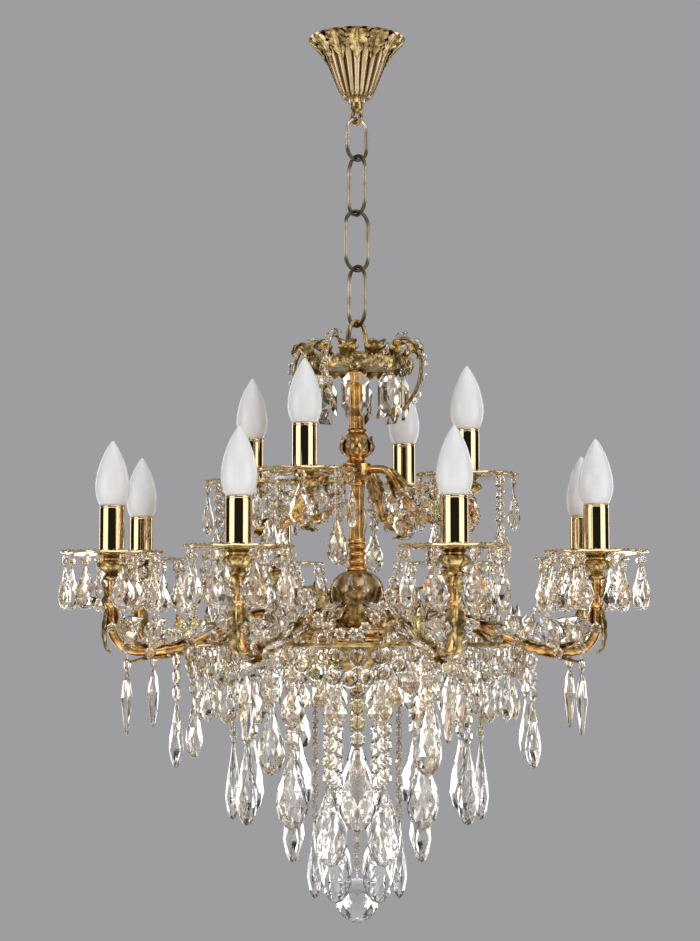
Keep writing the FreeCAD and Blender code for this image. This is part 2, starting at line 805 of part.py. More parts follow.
def stem():
    """Rod and everything threaded on it."""
    rod_top = crown_top + loop_boss_height - 1
    rod_bottom = dish_bottom - finial_height * 0.3 + touch_gap
    save("body_loop", body_loop())
    save("stem_rod", tube(rod_radius, rod_bore, rod_top, rod_bottom))
    save("crown_plate", crown_plate())
    leaf_phase = arm_phase + 180.0 / crown_leaf_count
    save("crown_leaves", *[put(crown_leaf(), place(0, leaf_phase + 360.0 * i / crown_leaf_count)) for i in range(crown_leaf_count)])
    upper = reeded(crown_bottom, upper_hub_top, upper_stem_radius)
    middle = reeded(upper_hub_bottom, middle_bottom, middle_stem_radius)
    save("stem_sleeves", upper, middle)
    save("upper_hub", upper_hub())
    save("neck", neck())
    save("vase", vase())
    save("stem_leaves", *around(vase_leaf(), 8), *around(dish_leaf(), dish_strand_count, 180.0 / dish_strand_count))
    save("arm_hub", arm_hub())
    between = 180.0 / lower_arm_count
    hub_leaves = [put(hub_leaf(), place(0, arm_phase + between + 2 * between * i)) for i in range(lower_arm_count)]
    save("hub_leaves", *hub_leaves)
    save("lower_dish", lower_dish())
    save("bottom_finial", finial())


# ---------------------------------------------------------------- arms and lights
def lower_arm_path():
    """S-shaped path of a lower arm: up over the hub, down, and up to its cup."""
    z = arm_hub_middle
    reach = lower_reach
    corners = [
        Vector(arm_hub_radius - socket_depth, 0, z),
        Vector(arm_hub_radius + 24, 0, z),
        Vector(arm_hub_radius + 62, 0, z + 30),
        Vector(reach * 0.57, 0, z + 6),
        Vector(reach * 0.77, 0, z - 14),
        Vector(reach, 0, z - 13),
        Vector(reach, 0, lower_pan - cup_height + cup_socket),
    ]
    return rounded(corners)


def upper_arm_path():
    """Path of an upper arm: out of the hub, down and up to its cup."""
    z = upper_socket
    reach = upper_reach
    corners = [
        Vector(upper_hub_radius - socket_depth, 0, z),
        Vector(upper_hub_radius + 20, 0, z),
        Vector(reach * 0.53, 0, z - 52),
        Vector(reach, 0, z - 62),
        Vector(reach, 0, upper_pan - cup_height + cup_socket),
    ]
    return rounded(corners)


def arm(path, knop_shares):
    """Arm tube with turned knops at shares of its length, where castings join it."""
    bar = wire_along(path, arm_radius)
    points = path.discretize(101)
    for share in knop_shares:
        i = round(share * 100)
        knop = Part.makeSphere(knop_radius)
        knop = knop.common(Part.makeCylinder(knop_radius, knop_radius, Vector(0, 0, -knop_radius)))
        knop.Placement = Placement(points[i], Rotation(UP, points[i + 1] - points[i]))
        bar = bar.fuse(knop)
    return bar.removeSplitter()


def candle_cup():
    """Turned cup under the drip pan, bored for the arm below and the lampholder above."""
    r, h = cup_radius, cup_height
    body = turned(
        [
            [(arm_radius + 1.5, -h), (arm_radius + 5, -h * 0.86), (arm_radius + 2, -h * 0.72)],
            [(arm_radius + 2, -h * 0.72), (r, -h * 0.45), (r * 0.9, -h * 0.26), (r * 0.62, -h * 0.2)],
            [(r * 0.62, -h * 0.2), (r * 0.85, -pan_thickness)],
        ],
        0,
    )
    arm_bore = Part.makeCylinder(arm_radius + slip_gap, cup_socket, Vector(0, 0, -h))
    holder_bore_here = Part.makeCylinder(spigot_radius + slip_gap, spigot_length + slip_gap)
    return body.cut(arm_bore).cut(lowered(holder_bore_here, -spigot_length - slip_gap))


def pan_underside(radius):
    """Height of the pan's underside under a lobe, from the top of its floor."""
    foot = pan_radius * pan_foot_share
    share = (radius - foot) / (pan_radius + pan_lobe_depth - foot)
    return pan_rise * max(share, 0) - pan_thickness


def drip_pan():
    """Thin dished pan with a scalloped, raised rim and a hole for the lampholder's foot."""
    r, t, foot = pan_radius, pan_thickness, pan_radius * pan_foot_share
    outside = lobed([(-t, foot, 0), (pan_rise - t, r, pan_lobe_depth), (pan_rise, r, pan_lobe_depth)], pan_lobes, True)
    inside = lobed([(0, foot, 0), (pan_rise, r - t, pan_lobe_depth)], pan_lobes, True)
    hole = Part.makeCylinder(spigot_radius + slip_gap, 3 * t, Vector(0, 0, -2 * t))
    return outside.cut(inside).cut(hole)


def sleeve():
    """Polished tube that hides the lampholder."""
    return tube(sleeve_radius, sleeve_radius - sleeve_wall, sleeve_height, 0)


def lampholder():
    """Round holder with a threaded foot and a well for the bulb's cap."""
    body = Part.makeCylinder(holder_radius, holder_height)
    foot = Part.makeCylinder(spigot_radius, spigot_length, Vector(0, 0, -spigot_length))
    well = cap_length + 2
    return body.fuse(foot).cut(Part.makeCylinder(holder_bore, well, Vector(0, 0, holder_height - well)))


def bulb():
    """Candle bulb: glass envelope and screw cap, face to face."""
    r, base, length = bulb_radius, sleeve_height, bulb_length
    neck_bottom = base - bulb_neck_length
    outline = [
        (sleeve_radius * 0.98, base + touch_gap + 0.5),
        (r * 0.93, base + length * 0.14),
        (r, base + length * 0.28),
        (r * 0.90, base + length * 0.50),
        (r * 0.62, base + length * 0.74),
        (r * 0.25, base + length * 0.93),
        (1.2, base + length),
    ]
    runs = [
        [(bulb_neck_radius, neck_bottom), (bulb_neck_radius, base + touch_gap + 0.5)],
        [(bulb_neck_radius, base + touch_gap + 0.5), outline[0]],
        outline,
    ]
    glass = turned(runs, 0)
    cap = Part.makeCylinder(cap_radius, cap_length, Vector(0, 0, neck_bottom - cap_length))
    return Part.makeCompound([glass, cap])


def candle_places():
    """Placement of every candle, lower tier first, with its azimuth."""
    lower = [(lower_reach, arm_phase + 360.0 * i / lower_arm_count, lower_pan) for i in range(lower_arm_count)]
    upper = [(upper_reach, arm_phase + 360.0 * i / upper_arm_count, upper_pan) for i in range(upper_arm_count)]
    return lower, upper


def lights():
    """Arms, cups, pans, sleeves, holders and bulbs."""
    lower, upper = candle_places()
    lower_bar = arm(lower_arm_path(), lower_knops)
    upper_bar = arm(upper_arm_path(), upper_knops)
    save("lower_arms", *[put(lower_bar, place(0, azimuth)) for _, azimuth, _ in lower])
    save("upper_arms", *[put(upper_bar, place(0, azimuth)) for _, azimuth, _ in upper])
    everywhere = lower + upper
    save("candle_cups", *[put(candle_cup(), place(*at)) for at in everywhere])
    save("drip_pans", *[put(drip_pan(), place(*at)) for at in everywhere])
    save("candle_sleeves", *[put(sleeve(), place(*at)) for at in everywhere])
    save("lampholders", *[put(lampholder(), place(*at)) for at in everywhere])
    for i, at in enumerate(everywhere):
        save(f"bulb_{i + 1}", put(bulb(), place(*at)))


# ---------------------------------------------------------------- cut glass
def bead(width, depth, sides):
    """Two-hole bead: a flat cut disc whose faces look out along X, its holes above each other."""
    half = depth / 2
    disc = cut_glass([(-half, 0), (0, width / 2 / math.cos(math.pi / sides)), (half, 0)], sides)
    disc.rotate(Vector(), Vector(0, 1, 0), 90)
    return disc


def shaped(size, stations, sides, flat):
    """Cut drop from z 0 down; each station is (share of the length, share of the half width)."""
    width, length = size
    return cut_glass([(-length * down, width / 2 * out) for down, out in stations], sides, flat)


def pear(size):
    """Pear-shaped drop with a broad round foot."""
    return shaped(size, [(1, 0.3), (0.76, 1), (0.3, 0.5), (0, 0.12)], 6, 0.5)


def small_pear(size):
    """Pear-shaped drop of few facets."""
    return shaped(size, [(1, 0.35), (0.7, 1), (0, 0.15)], 4, 0.5)


def tablet(size):
    """Long eight-cornered drop with broad flat faces."""
    return shaped(size, [(1, 0.5), (0.8, 1), (0.2, 1), (0, 0.4)], 6, 0.5)


def leaf_glass(size):
    """Leaf-shaped glass that stands on its point, from z 0 up."""
    width, length = size
    return cut_glass([(0, 0), (length * 0.38, width / 2), (length, 0)], 6, 0.5)


def spear(size):
    """Slim icicle drop, widest above its middle."""
    return shaped(size, [(1, 0.05), (0.72, 0.62), (0.36, 1), (0.1, 0.45), (0, 0.15)], 6, 0.75)


def ball():
    """Round faceted ball, from z 0."""
    rings = 7
    levels = []
    for i in range(rings + 1):
        a = math.pi * i / rings
        radius = ball_radius * math.sin(a) if 0 < i < rings else 0
        levels.append((-ball_radius - ball_radius * math.cos(a), radius))
    return cut_glass(levels, 12)


BEAD = bead(bead_width, bead_depth, 6)
SMALL_BEAD = bead(small_bead_width, small_bead_depth, 6)


def strand(count, piece, width, drop=None):
    """Beads one below the other from z 0, then a drop. Returns the beads and the drop."""
    pitch = width + touch_gap
    beads = [lowered(piece, -touch_gap - width / 2 - pitch * i) for i in range(count)]
    end = None if drop is None else lowered(drop, -touch_gap - pitch * count)
    return beads, end


def hang(strands, at):
    """A strand's beads and drop, moved to a place."""
    beads, drop = strands
    return [put(b, at) for b in beads], [] if drop is None else [put(drop, at)]


def pan_drops(places, phase, bead_counts):
    """Beads and a drop at even steps round the rim of each drip pan, in repeating counts."""
    small = small_pear(pan_drop_size)
    units = [strand(count, SMALL_BEAD, small_bead_width, small) for count in bead_counts]
    beads, drops = [], []
    for at in places:
        for i in range(pan_drop_count):
            own = place(pan_drop_ring, 90 + phase + 360.0 * i / pan_drop_count, pan_underside(pan_drop_ring))
            more_beads, more_drops = hang(units[i % len(units)], place(*at).multiply(own))
            beads += more_beads
            drops += more_drops
    return beads, drops


def swag(start, end, slack, piece, width):
    """Beads end to end along the catenary that their length sets, between two level points."""
    pitch = width + swag_gap
    span = start.distanceToPoint(end)
    count = math.ceil(slack * span / pitch)
    length = count * pitch
    low, high = span / 20, span * 20
    for _ in range(50):
        scale = (low + high) / 2  # radius of the curve at its foot
        if 2 * scale * math.sinh(span / 2 / scale) > length:
            low = scale
        else:
            high = scale
    along = (end - start).normalize()
    across = UP.cross(along)
    placed = []
    for k in range(count):
        x = scale * math.asinh((pitch * (k + 0.5) - length / 2) / scale)
        drop = scale * (math.cosh(span / 2 / scale) - math.cosh(x / scale))
        heading = (along + UP * math.sinh(x / scale)).normalize()
        turn = Rotation(across, heading.cross(across), heading, "ZXY")
        placed.append(put(piece, Placement(start + along * (span / 2 + x) - UP * drop, turn)))
    return placed


def rim_point(at, toward):
    """Point just under a pan's rim, on the side that faces another point."""
    ahead = Vector(toward.x - at.x, toward.y - at.y, 0).normalize()
    return at + ahead * pan_drop_ring + UP * (pan_underside(pan_drop_ring) - swag_end_gap)


def swags():
    """Swags of small beads from pan to pan, and of large ones from arm to arm."""
    lower, _ = candle_places()
    path = lower_arm_path()
    below = math.radians(arm_swag_angle)
    radius = lower_reach * arm_swag_share
    arm_z = height_under(path, radius, (arm_radius + touch_gap) * math.sin(below))
    beside = math.degrees((arm_radius + touch_gap) * math.cos(below) / radius)
    small, large = [], []
    for i, at in enumerate(lower):
        other = lower[(i + 1) % len(lower)]
        here, there = polar(*at), polar(*other)
        small += swag(rim_point(here, there), rim_point(there, here), pan_swag_slack, SMALL_BEAD, small_bead_width)
        start = polar(radius, at[1] + beside, arm_z)
        end = polar(radius, other[1] - beside, arm_z)
        large += swag(start, end, arm_swag_slack, BEAD, bead_width)
    return small, large


def strands(radius, z, count, share, beads, drop):
    """Even strands below a ring, from a share of a step on. Returns beads and drops."""
    unit = strand(beads, BEAD, bead_width, drop)
    all_beads, all_drops = [], []
    for i in range(count):
        more_beads, more_drops = hang(unit, place(radius, 360.0 * (i + share) / count, z))
        all_beads += more_beads
        all_drops += more_drops
    return all_beads, all_drops


def basket(path, grand, small):
    """Hoops under the arms with their strands, and the strands of the dish."""
    offset = arm_radius + hoop_wire + touch_gap
    outer, middle, inner = outer_hoop_radius, lower_reach * middle_hoop_share, inner_hoop_radius
    heights = {radius: height_under(path, radius, offset) for radius in (outer, middle, inner)}
    hoops = [Part.makeTorus(radius, hoop_wire, Vector(0, 0, z)) for radius, z in heights.items()]
    groups = [
        strands(outer, heights[outer] - hoop_wire, outer_strand_count, 0, outer_strand_beads, grand),
        strands(outer, heights[outer] - hoop_wire, outer_strand_count, 0.5, outer_short_beads, small),
        strands(middle, heights[middle] - hoop_wire, middle_strand_count, 0.5, middle_strand_beads, small),
        strands(inner, heights[inner] - hoop_wire, inner_strand_count, 0.5, inner_strand_beads, grand),
        strands(strand_ring, dish_top, dish_strand_count, 0.5, dish_strand_beads, grand),
    ]
    return hoops, [b for beads, _ in groups for b in beads], [d for _, drops in groups for d in drops]


def arm_glass(path, azimuths, large, small):
    """Strands and small drops under each lower arm."""
    beads, drops, small_beads, small_drops = [], [], [], []
    long_unit = strand(arm_strand_beads, BEAD, bead_width, large)
    short_unit = strand(1, SMALL_BEAD, small_bead_width, small)
    radius = lower_reach * arm_strand_share
    for azimuth in azimuths:
        at = place(radius, azimuth, height_under(path, radius, arm_radius))
        more_beads, more_drops = hang(long_unit, at)
        beads += more_beads
        drops += more_drops
        for share in arm_small_shares:
            x = lower_reach * share
            at = place(x, azimuth, height_under(path, x, arm_radius))
            more_beads, more_drops = hang(short_unit, at)
            small_beads += more_beads
            small_drops += more_drops
    return beads, drops, small_beads, small_drops


def arm_leaves(path, azimuths):
    """Leaf-shaped glass that stands along the top of each lower arm."""
    piece = leaf_glass(leaf_glass_size)
    leaves = []
    for share in leaf_glass_shares:
        x = lower_reach * share
        z = height_under(path, x, -arm_radius - touch_gap)
        leaves += [put(piece, place(x, azimuth, z)) for azimuth in azimuths]
    return leaves


def hooked(*pieces):
    """Pieces that swing as one below a hook, from z 0."""
    hook = Part.makeBox(hook_width, hook_width, hook_length, Vector(-hook_width / 2, -hook_width / 2, -hook_length))
    return Part.makeCompound([hook] + [lowered(piece, -hook_length) for piece in pieces])


def glass():
    """Every crystal, in groups."""
    lower, upper = candle_places()
    path = lower_arm_path()
    azimuths = [azimuth for _, azimuth, _ in lower]
    large, grand, small = pear(large_drop_size), pear(grand_drop_size), small_pear(pan_drop_size)
    lower_beads, lower_drops = pan_drops(lower, 0, (1,))
    upper_beads, upper_drops = pan_drops(upper, 180.0 / pan_drop_count, (1, upper_string_beads))
    small_swags, large_swags = swags()
    hoops, basket_beads, basket_drops = basket(path, grand, small)
    arm_beads, arm_drops, arm_small_beads, arm_short_drops = arm_glass(path, azimuths, large, small)
    crown_beads, crown_drops = crown_glass()
    centre, _ = strand(centre_beads, BEAD, bead_width)
    save("basket_hoops", *hoops)
    save("lower_pan_drops", *lower_drops)
    save("small_drops", *upper_drops, *arm_short_drops, *crown_drops)
    save("small_beads", *lower_beads, *upper_beads, *small_swags, *arm_small_beads, *crown_beads)
    save("strand_beads", *basket_beads, *arm_beads, *large_swags, *[lowered(b, finial_bottom) for b in centre])
    save("strand_drops", *basket_drops, *arm_drops)
    save("scroll_glass", *crown_bars(), *arm_leaves(path, azimuths))
    save("bottom_ball", lowered(hooked(ball()), ball_pivot))
    beads, end = strand(1, SMALL_BEAD, small_bead_width, spear(spear_size))
    arm_drop = hooked(*beads, end)
    x = lower_reach * arm_drop_share
    pivot = height_under(path, x, arm_radius) - 2 * touch_gap
    for i, azimuth in enumerate(azimuths):
        save(f"arm_drop_{i + 1}", put(arm_drop, place(x, azimuth, pivot)))


def crown_glass():
    """Beads and drops under the crown plate, at the last station of its underside."""
    unit = strand(1, SMALL_BEAD, small_bead_width, tablet(crown_drop_size))
    beads, drops = [], []
    for i in range(crown_drop_count):
        azimuth = arm_phase + 360.0 * (i + 0.5) / crown_drop_count
        more_beads, more_drops = hang(unit, place(crown_plate_radius * 0.85, azimuth, crown_bottom + 5))
        beads += more_beads
        drops += more_drops
    return beads, drops


def scroll_azimuths():
    """Azimuth of each crown scroll."""
    return [arm_phase + 360.0 * i / upper_arm_count for i in range(upper_arm_count)]


def crown_bars():
    """Glass bars of every scroll."""
    return [put(bar, place(0, a)) for a in scroll_azimuths() for bar in scroll_bars()]


def crown():
    """Scrolls of the crown."""
    scroll = wire_along(scroll_path(), scroll_wire)
    save("crown_scrolls", *[put(scroll, place(0, a)) for a in scroll_azimuths()])


os.makedirs(OUT, exist_ok=True)
ceiling_end()
chain()
stem()
crown()
lights()
glass()
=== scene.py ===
"""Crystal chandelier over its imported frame. Metres, +Z up, ceiling at z 0, viewer at -Y."""
import json
import math

import bpy
import numpy as np
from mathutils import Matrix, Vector

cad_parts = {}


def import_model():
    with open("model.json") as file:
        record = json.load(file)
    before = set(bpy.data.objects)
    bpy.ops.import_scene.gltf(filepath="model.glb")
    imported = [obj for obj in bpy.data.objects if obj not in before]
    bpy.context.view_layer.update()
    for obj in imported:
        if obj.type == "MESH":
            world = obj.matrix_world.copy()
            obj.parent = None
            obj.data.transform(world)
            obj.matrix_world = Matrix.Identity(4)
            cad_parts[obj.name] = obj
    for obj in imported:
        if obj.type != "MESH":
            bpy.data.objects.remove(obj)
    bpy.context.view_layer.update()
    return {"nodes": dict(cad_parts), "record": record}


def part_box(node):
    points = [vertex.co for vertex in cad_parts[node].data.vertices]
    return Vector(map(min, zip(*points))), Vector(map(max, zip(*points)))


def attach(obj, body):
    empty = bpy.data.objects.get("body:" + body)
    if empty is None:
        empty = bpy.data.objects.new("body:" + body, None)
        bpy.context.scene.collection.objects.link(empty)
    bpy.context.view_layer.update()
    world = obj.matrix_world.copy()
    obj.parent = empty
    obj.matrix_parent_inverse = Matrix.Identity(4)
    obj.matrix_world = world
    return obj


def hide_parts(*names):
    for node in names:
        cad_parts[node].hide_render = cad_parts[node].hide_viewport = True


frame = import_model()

NODES = frame["nodes"]
MM = 0.001
LAMP = "chandelier"  # the body that carries everything below the chain
CANOPY_REEDS = 20
SMALL_LEAF = (33, 11)  # rows and columns of points, where leaves are many

# ---------------------------------------------------------------- photograph
FOCAL_PX = 2000.0
IMAGE_HEIGHT = 941
SENSOR_MM = 36.0
CAMERA_PLACE = (-0.0074, -2.12, -0.638)
CAMERA_PITCH = 4.6  # degrees above level
BACKGROUND = (0.342, 0.338, 0.352)
AMBIENT = (0.22, 0.22, 0.225)


# ---------------------------------------------------------------- mesh helpers
def add_object(name, data):
    """New object in the scene."""
    item = bpy.data.objects.new(name, data)
    bpy.context.scene.collection.objects.link(item)
    return item


def mesh_object(name, points, faces, smooth=False):
    """Object at the origin from an array of points and rows of face indices (same length)."""
    mesh = bpy.data.meshes.new(name)
    points = np.asarray(points, float).reshape(-1, 3)
    faces = [np.asarray(block) for block in (faces if isinstance(faces, list) else [faces])]
    sizes = np.concatenate([np.full(len(block), block.shape[1]) for block in faces])
    loops = np.concatenate([block.ravel() for block in faces])
    mesh.vertices.add(len(points))
    mesh.vertices.foreach_set("co", points.ravel())
    mesh.loops.add(len(loops))
    mesh.loops.foreach_set("vertex_index", loops.astype(np.int32))
    mesh.polygons.add(len(sizes))
    mesh.polygons.foreach_set("loop_start", (np.cumsum(sizes) - sizes).astype(np.int32))
    mesh.polygons.foreach_set("use_smooth", np.full(len(sizes), smooth))
    mesh.update(calc_edges=True)
    mesh.validate()
    return add_object(name, mesh)


def dress(piece, material, body):
    """Gives a new piece its material and the body it rides on."""
    piece.data.materials.clear()
    piece.data.materials.append(material)
    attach(piece, body)
    return piece


def islands(node):
    """Point arrays of the separate solids in a node, from vertices joined by its edges."""
    mesh = NODES[node].data
    points = np.empty(3 * len(mesh.vertices))
    mesh.vertices.foreach_get("co", points)
    points = points.reshape(-1, 3)
    edges = np.empty(2 * len(mesh.edges), int)
    mesh.edges.foreach_get("vertices", edges)
    unique, key = np.unique(np.round(points, 6), axis=0, return_inverse=True)
    key = key.ravel()
    ends = key[edges.reshape(-1, 2)]
    label = np.arange(len(unique))
    while True:
        low = np.minimum(label[ends[:, 0]], label[ends[:, 1]])
        before = label.copy()
        np.minimum.at(label, ends[:, 0], low)
        np.minimum.at(label, ends[:, 1], low)
        label = label[label]
        if np.array_equal(label, before):
            return [unique[label == value] for value in np.unique(label)]


def grid(rows, columns, closed=False):
    """Quads over a grid of points stored row by row; closed joins the last column to the first."""
    r = np.arange(rows - 1)[:, None]
    c = np.arange(columns if closed else columns - 1)[None, :]
    n = (c + 1) % columns
    quads = [r * columns + c, r * columns + n, (r + 1) * columns + n, (r + 1) * columns + c]
    return np.stack([q.ravel() for q in quads], axis=1)


def repeat(points, faces, places):
    """One shape at many places: places holds an origin and a 3x3 matrix of columns for each.
    A mirrored place has its faces turned round, so that they still point outwards."""
    all_points, all_faces = [], []
    for n, (origin, axes) in enumerate(places):
        all_points.append(points @ np.asarray(axes).T + origin)
        outward = faces if np.linalg.det(axes) > 0 else faces[:, ::-1]
        all_faces.append(outward + n * len(points))
    return np.concatenate(all_points), np.concatenate(all_faces)


def smooth_line(values, t):
    """Catmull-Rom curve through the rows of values, at t from 0 to 1."""
    values = np.asarray(values, float)
    last = len(values) - 1
    k = np.clip(np.floor(t * last).astype(int), 0, last - 1)
    f = (t * last - k)[:, None]
    padded = np.vstack([2 * values[0] - values[1], values, 2 * values[-1] - values[-2]])
    a, b, c, d = padded[k], padded[k + 1], padded[k + 2], padded[k + 3]
    square, cube = 2 * a - 5 * b + 4 * c - d, 3 * b - a - 3 * c + d
    return 0.5 * (2 * b + (c - a) * f + square * f ** 2 + cube * f ** 3)


def thick_sheet(front, normals, thickness):
    """Closed sheet from a grid of points: the front, the back pushed along -normal, and the
    edge between them."""
    rows, columns = front.shape[:2]
    back = front - normals * thickness
    points = np.concatenate([front.reshape(-1, 3), back.reshape(-1, 3)])
    quads = grid(rows, columns)
    n = rows * columns
    ring = np.concatenate([
        np.arange(columns - 1),
        columns - 1 + columns * np.arange(rows - 1),
        n - 1 - np.arange(columns - 1),
        columns * (rows - 1 - np.arange(rows - 1)),
    ])
    after = np.roll(ring, -1)
    edge = np.stack([after, ring, ring + n, after + n], 1)
    return points, np.concatenate([quads, quads[:, ::-1] + n, edge])


def lathe(profile, sides, lobes=1, ripple=None, lift=None, reeded=False):
    """Closed ring of quads: a closed (radius, z) profile turned about Z. Each profile point's
    radius waves by its ripple, and its height by its lift, lobes times round. The wave is a
    cosine, or for reeds the size of a half-speed cosine, round outside and sharp inside."""
    profile = np.asarray(profile, float)
    ripple = np.zeros(len(profile)) if ripple is None else np.asarray(ripple, float)
    lift = np.zeros(len(profile)) if lift is None else np.asarray(lift, float)
    a = 2 * np.pi * np.arange(sides) / sides
    wave = 2 * np.abs(np.cos(lobes * a / 2)) - 1 if reeded else np.cos(lobes * a)
    r = profile[:, :1] + ripple[:, None] * wave
    z = profile[:, 1:] + lift[:, None] * wave
    points = np.stack([r * np.cos(a), r * np.sin(a), z], 2).reshape(-1, 3)
    i = np.arange(len(profile))[:, None]
    j = np.arange(sides)[None, :]
    i2, j2 = (i + 1) % len(profile), (j + 1) % sides
    corners = (i * sides + j, i * sides + j2, i2 * sides + j2, i2 * sides + j)
    quads = np.stack([q.ravel() for q in corners], 1)
    after = np.roll(profile, -1, axis=0)
    area = np.sum(profile[:, 0] * after[:, 1] - after[:, 0] * profile[:, 1])
    return points, quads if area > 0 else quads[:, ::-1]


def join(shapes):
    """Several (points, faces) as one; faces all with the same number of corners."""
    start, points, faces = 0, [], []
    for p, f in shapes:
        points.append(p)
        faces.append(f + start)
        start += len(p)
    return np.concatenate(points), np.concatenate(faces)


def around(azimuth):
    """Unit vectors outward, sideways and up at an azimuth in radians, 0 facing -Y."""
    out = np.array([math.sin(azimuth), -math.cos(azimuth), 0])
    side = np.array([math.cos(azimuth), math.sin(azimuth), 0])
    return out, side, np.array([0, 0, 1.0])


def azimuth_of(point):
    """Azimuth of a point, in radians."""
    return math.atan2(point[0], -point[1])


def turned_out(azimuth):
    """3x3 matrix that carries +X outward at an azimuth, +Y sideways and +Z up."""
    return np.stack(around(azimuth), 1)


def turned_places(node, keep=None):
    """Azimuth placements of the solids of a node that go round the axis."""
    middles = [points.mean(0) for points in islands(node)]
    return [((0, 0, 0), turned_out(azimuth_of(m))) for m in middles if keep is None or keep(m)]


def ring_places(first, count):
    """Azimuth placements evenly round the axis, from a first azimuth in degrees."""
    return [((0, 0, 0), turned_out(math.radians(first + 360 // count * i))) for i in range(count)]


def box_middle(points):
    """Middle and lowest and highest corner of the box round some points."""
    low, high = points.min(0), points.max(0)
    return (low + high) / 2, low, high


# ---------------------------------------------------------------- cut glass shapes
def lattice(levels, sides):
    """Triangle-faceted body: rings at (height, radius), each turned half a step from the last,
    closed by one point above and one below. Returns points and triangles."""
    points, count = [], len(levels) - 2
    for ring, (z, radius) in enumerate(levels[1:-1]):
        a = 2 * np.pi * (np.arange(sides) + 0.5 * (ring % 2)) / sides
        points.append(np.stack([radius * np.cos(a), radius * np.sin(a), np.full(sides, z)], 1))
    low, high = sides * count, sides * count + 1
    points.append(np.array([[0, 0, levels[0][0]], [0, 0, levels[-1][0]]]))
    i = np.arange(sides)
    j = (i + 1) % sides
    faces = [np.stack([np.full(sides, low), j, i], 1)]
    for ring in range(count - 1):
        a, b = ring * sides, (ring + 1) * sides
        if ring % 2:
            faces += [np.stack([a + i, b + j, b + i], 1), np.stack([a + i, a + j, b + j], 1)]
        else:
            faces += [np.stack([a + i, a + j, b + i], 1), np.stack([a + j, b + j, b + i], 1)]
    top = (count - 1) * sides
    faces.append(np.stack([top + i, top + j, np.full(sides, high)], 1))
    return np.concatenate(points), np.concatenate(faces)


def pear():
    """Pear drop, point up, 1 high below z 0 and 1 across, its round foot cut in small facets."""
    levels = [(-1, 0), (-0.97, 0.2), (-0.88, 0.38), (-0.72, 0.5), (-0.52, 0.45), (-0.32, 0.28)]
    return lattice(levels + [(-0.14, 0.15), (-0.03, 0.09), (0, 0)], 8)


def spear():
    """Slim icicle, 1 high below z 0 and 1 across, widest above its middle."""
    levels = [(-1, 0), (-0.93, 0.16), (-0.7, 0.34), (-0.4, 0.5), (-0.16, 0.34), (-0.03, 0.12)]
    return lattice(levels + [(0, 0)], 8)


def ball():
    """Round faceted ball, 1 across, centred."""
    count = 10
    a = np.pi * np.arange(count + 1) / count
    return lattice(list(zip(-0.5 * np.cos(a), 0.5 * np.sin(a))), 14)


def stepped(rings, ends):
    """Body of rings of points that go along +X, joined by triangles and closed by a point at
    either end."""
    sides, last = len(rings[0]), len(rings) - 1
    low, high = sides * (last + 1), sides * (last + 1) + 1
    i = np.arange(sides)
    j = (i + 1) % sides
    faces = [np.stack([np.full(sides, low), j, i], 1)]
    for ring in range(last):
        a, b = sides * ring, sides * ring + sides
        faces += [np.stack([a + i, a + j, b + j], 1), np.stack([a + i, b + j, b + i], 1)]
    faces.append(np.stack([sides * last + i, sides * last + j, np.full(sides, high)], 1))
    return np.concatenate([*rings, np.array(ends)]), np.concatenate(faces)


def octagon():
    """Octagonal bead, 1 across in Y and Z and 1 thick in X: a table and a ring of bevels on
    each side."""
    a = 2 * np.pi * (np.arange(8) + 0.5) / 8
    rings = []
    for x, r in ((-0.5, 0.27), (-0.12, 0.5), (0.12, 0.5), (0.5, 0.27)):
        y, z = r * np.cos(a) / math.cos(np.pi / 8), r * np.sin(a) / math.cos(np.pi / 8)
        rings.append(np.stack([np.full(8, x), y, z], 1))
    return stepped(rings, [[-0.5, 0, 0], [0.5, 0, 0]])


def tablet():
    """Long octagonal drop, 1 high below z 0 and 1 across: bevelled rim, a table on both sides."""
    right = [(0.24, -1), (0.5, -0.76), (0.5, -0.2), (0.22, 0)]
    outline = np.array([(-y, z) for y, z in right[::-1]] + right)
    middle = np.array([0, -0.5])
    rings = [
        np.column_stack([np.full(8, x), middle + (outline - middle) * share])
        for x, share in ((-0.5, 0.55), (-0.12, 1.0), (0.12, 1.0), (0.5, 0.55))
    ]
    return stepped(rings, [[-0.5, 0, -0.5], [0.5, 0, -0.5]])


def rosette():
    """Flower-cut bead, 1 across in Y and Z and 1 thick in X: six petals that slope up to an
    eye."""
    sides = 12
    a = 2 * np.pi * np.arange(sides) / sides
    petal = np.where(np.arange(sides) % 2 == 0, 0.5, 0.38)
    eye = np.full(sides, 0.2)
    rings = [
        np.stack([np.full(sides, x), r * np.cos(a), r * np.sin(a)], 1)
        for x, r in ((-0.46, eye), (-0.12, petal), (0.12, petal), (0.46, eye))
    ]
    return stepped(rings, [[-0.5, 0, 0], [0.5, 0, 0]])


def blade():
    """Leaf-shaped glass, 1 high below z 0 and 1 across, with a ridge down each face."""
    return lattice([(-1, 0), (-0.86, 0.24), (-0.62, 0.5), (-0.4, 0.42), (-0.18, 0.2), (0, 0)], 8)


def prism():
    """Long bar with pointed ends, 1 high below z 0 and 1 across, of six flats."""
    half = [(-0.84, 0.5), (-0.5, 0.47), (-0.16, 0.5)]
    return lattice([(-1, 0), (-0.86, 0.46), *half, (-0.14, 0.46), (0, 0)], 6)


def hook():
    """Plain round bar of eight sides, 1 high below z 0 and 1 across."""
    return lattice([(-1, 0), (-1, 0.5), (0, 0.5), (0, 0)], 8)


def pearl(radius, shoulder):
    """Small eight-sided ball of a radius, with a ring of that size between two smaller ones."""
    rings = [(-shoulder, shoulder), (0, radius), (shoulder, shoulder)]
    return lattice([(-radius, 0), *rings, (radius, 0)], 8)


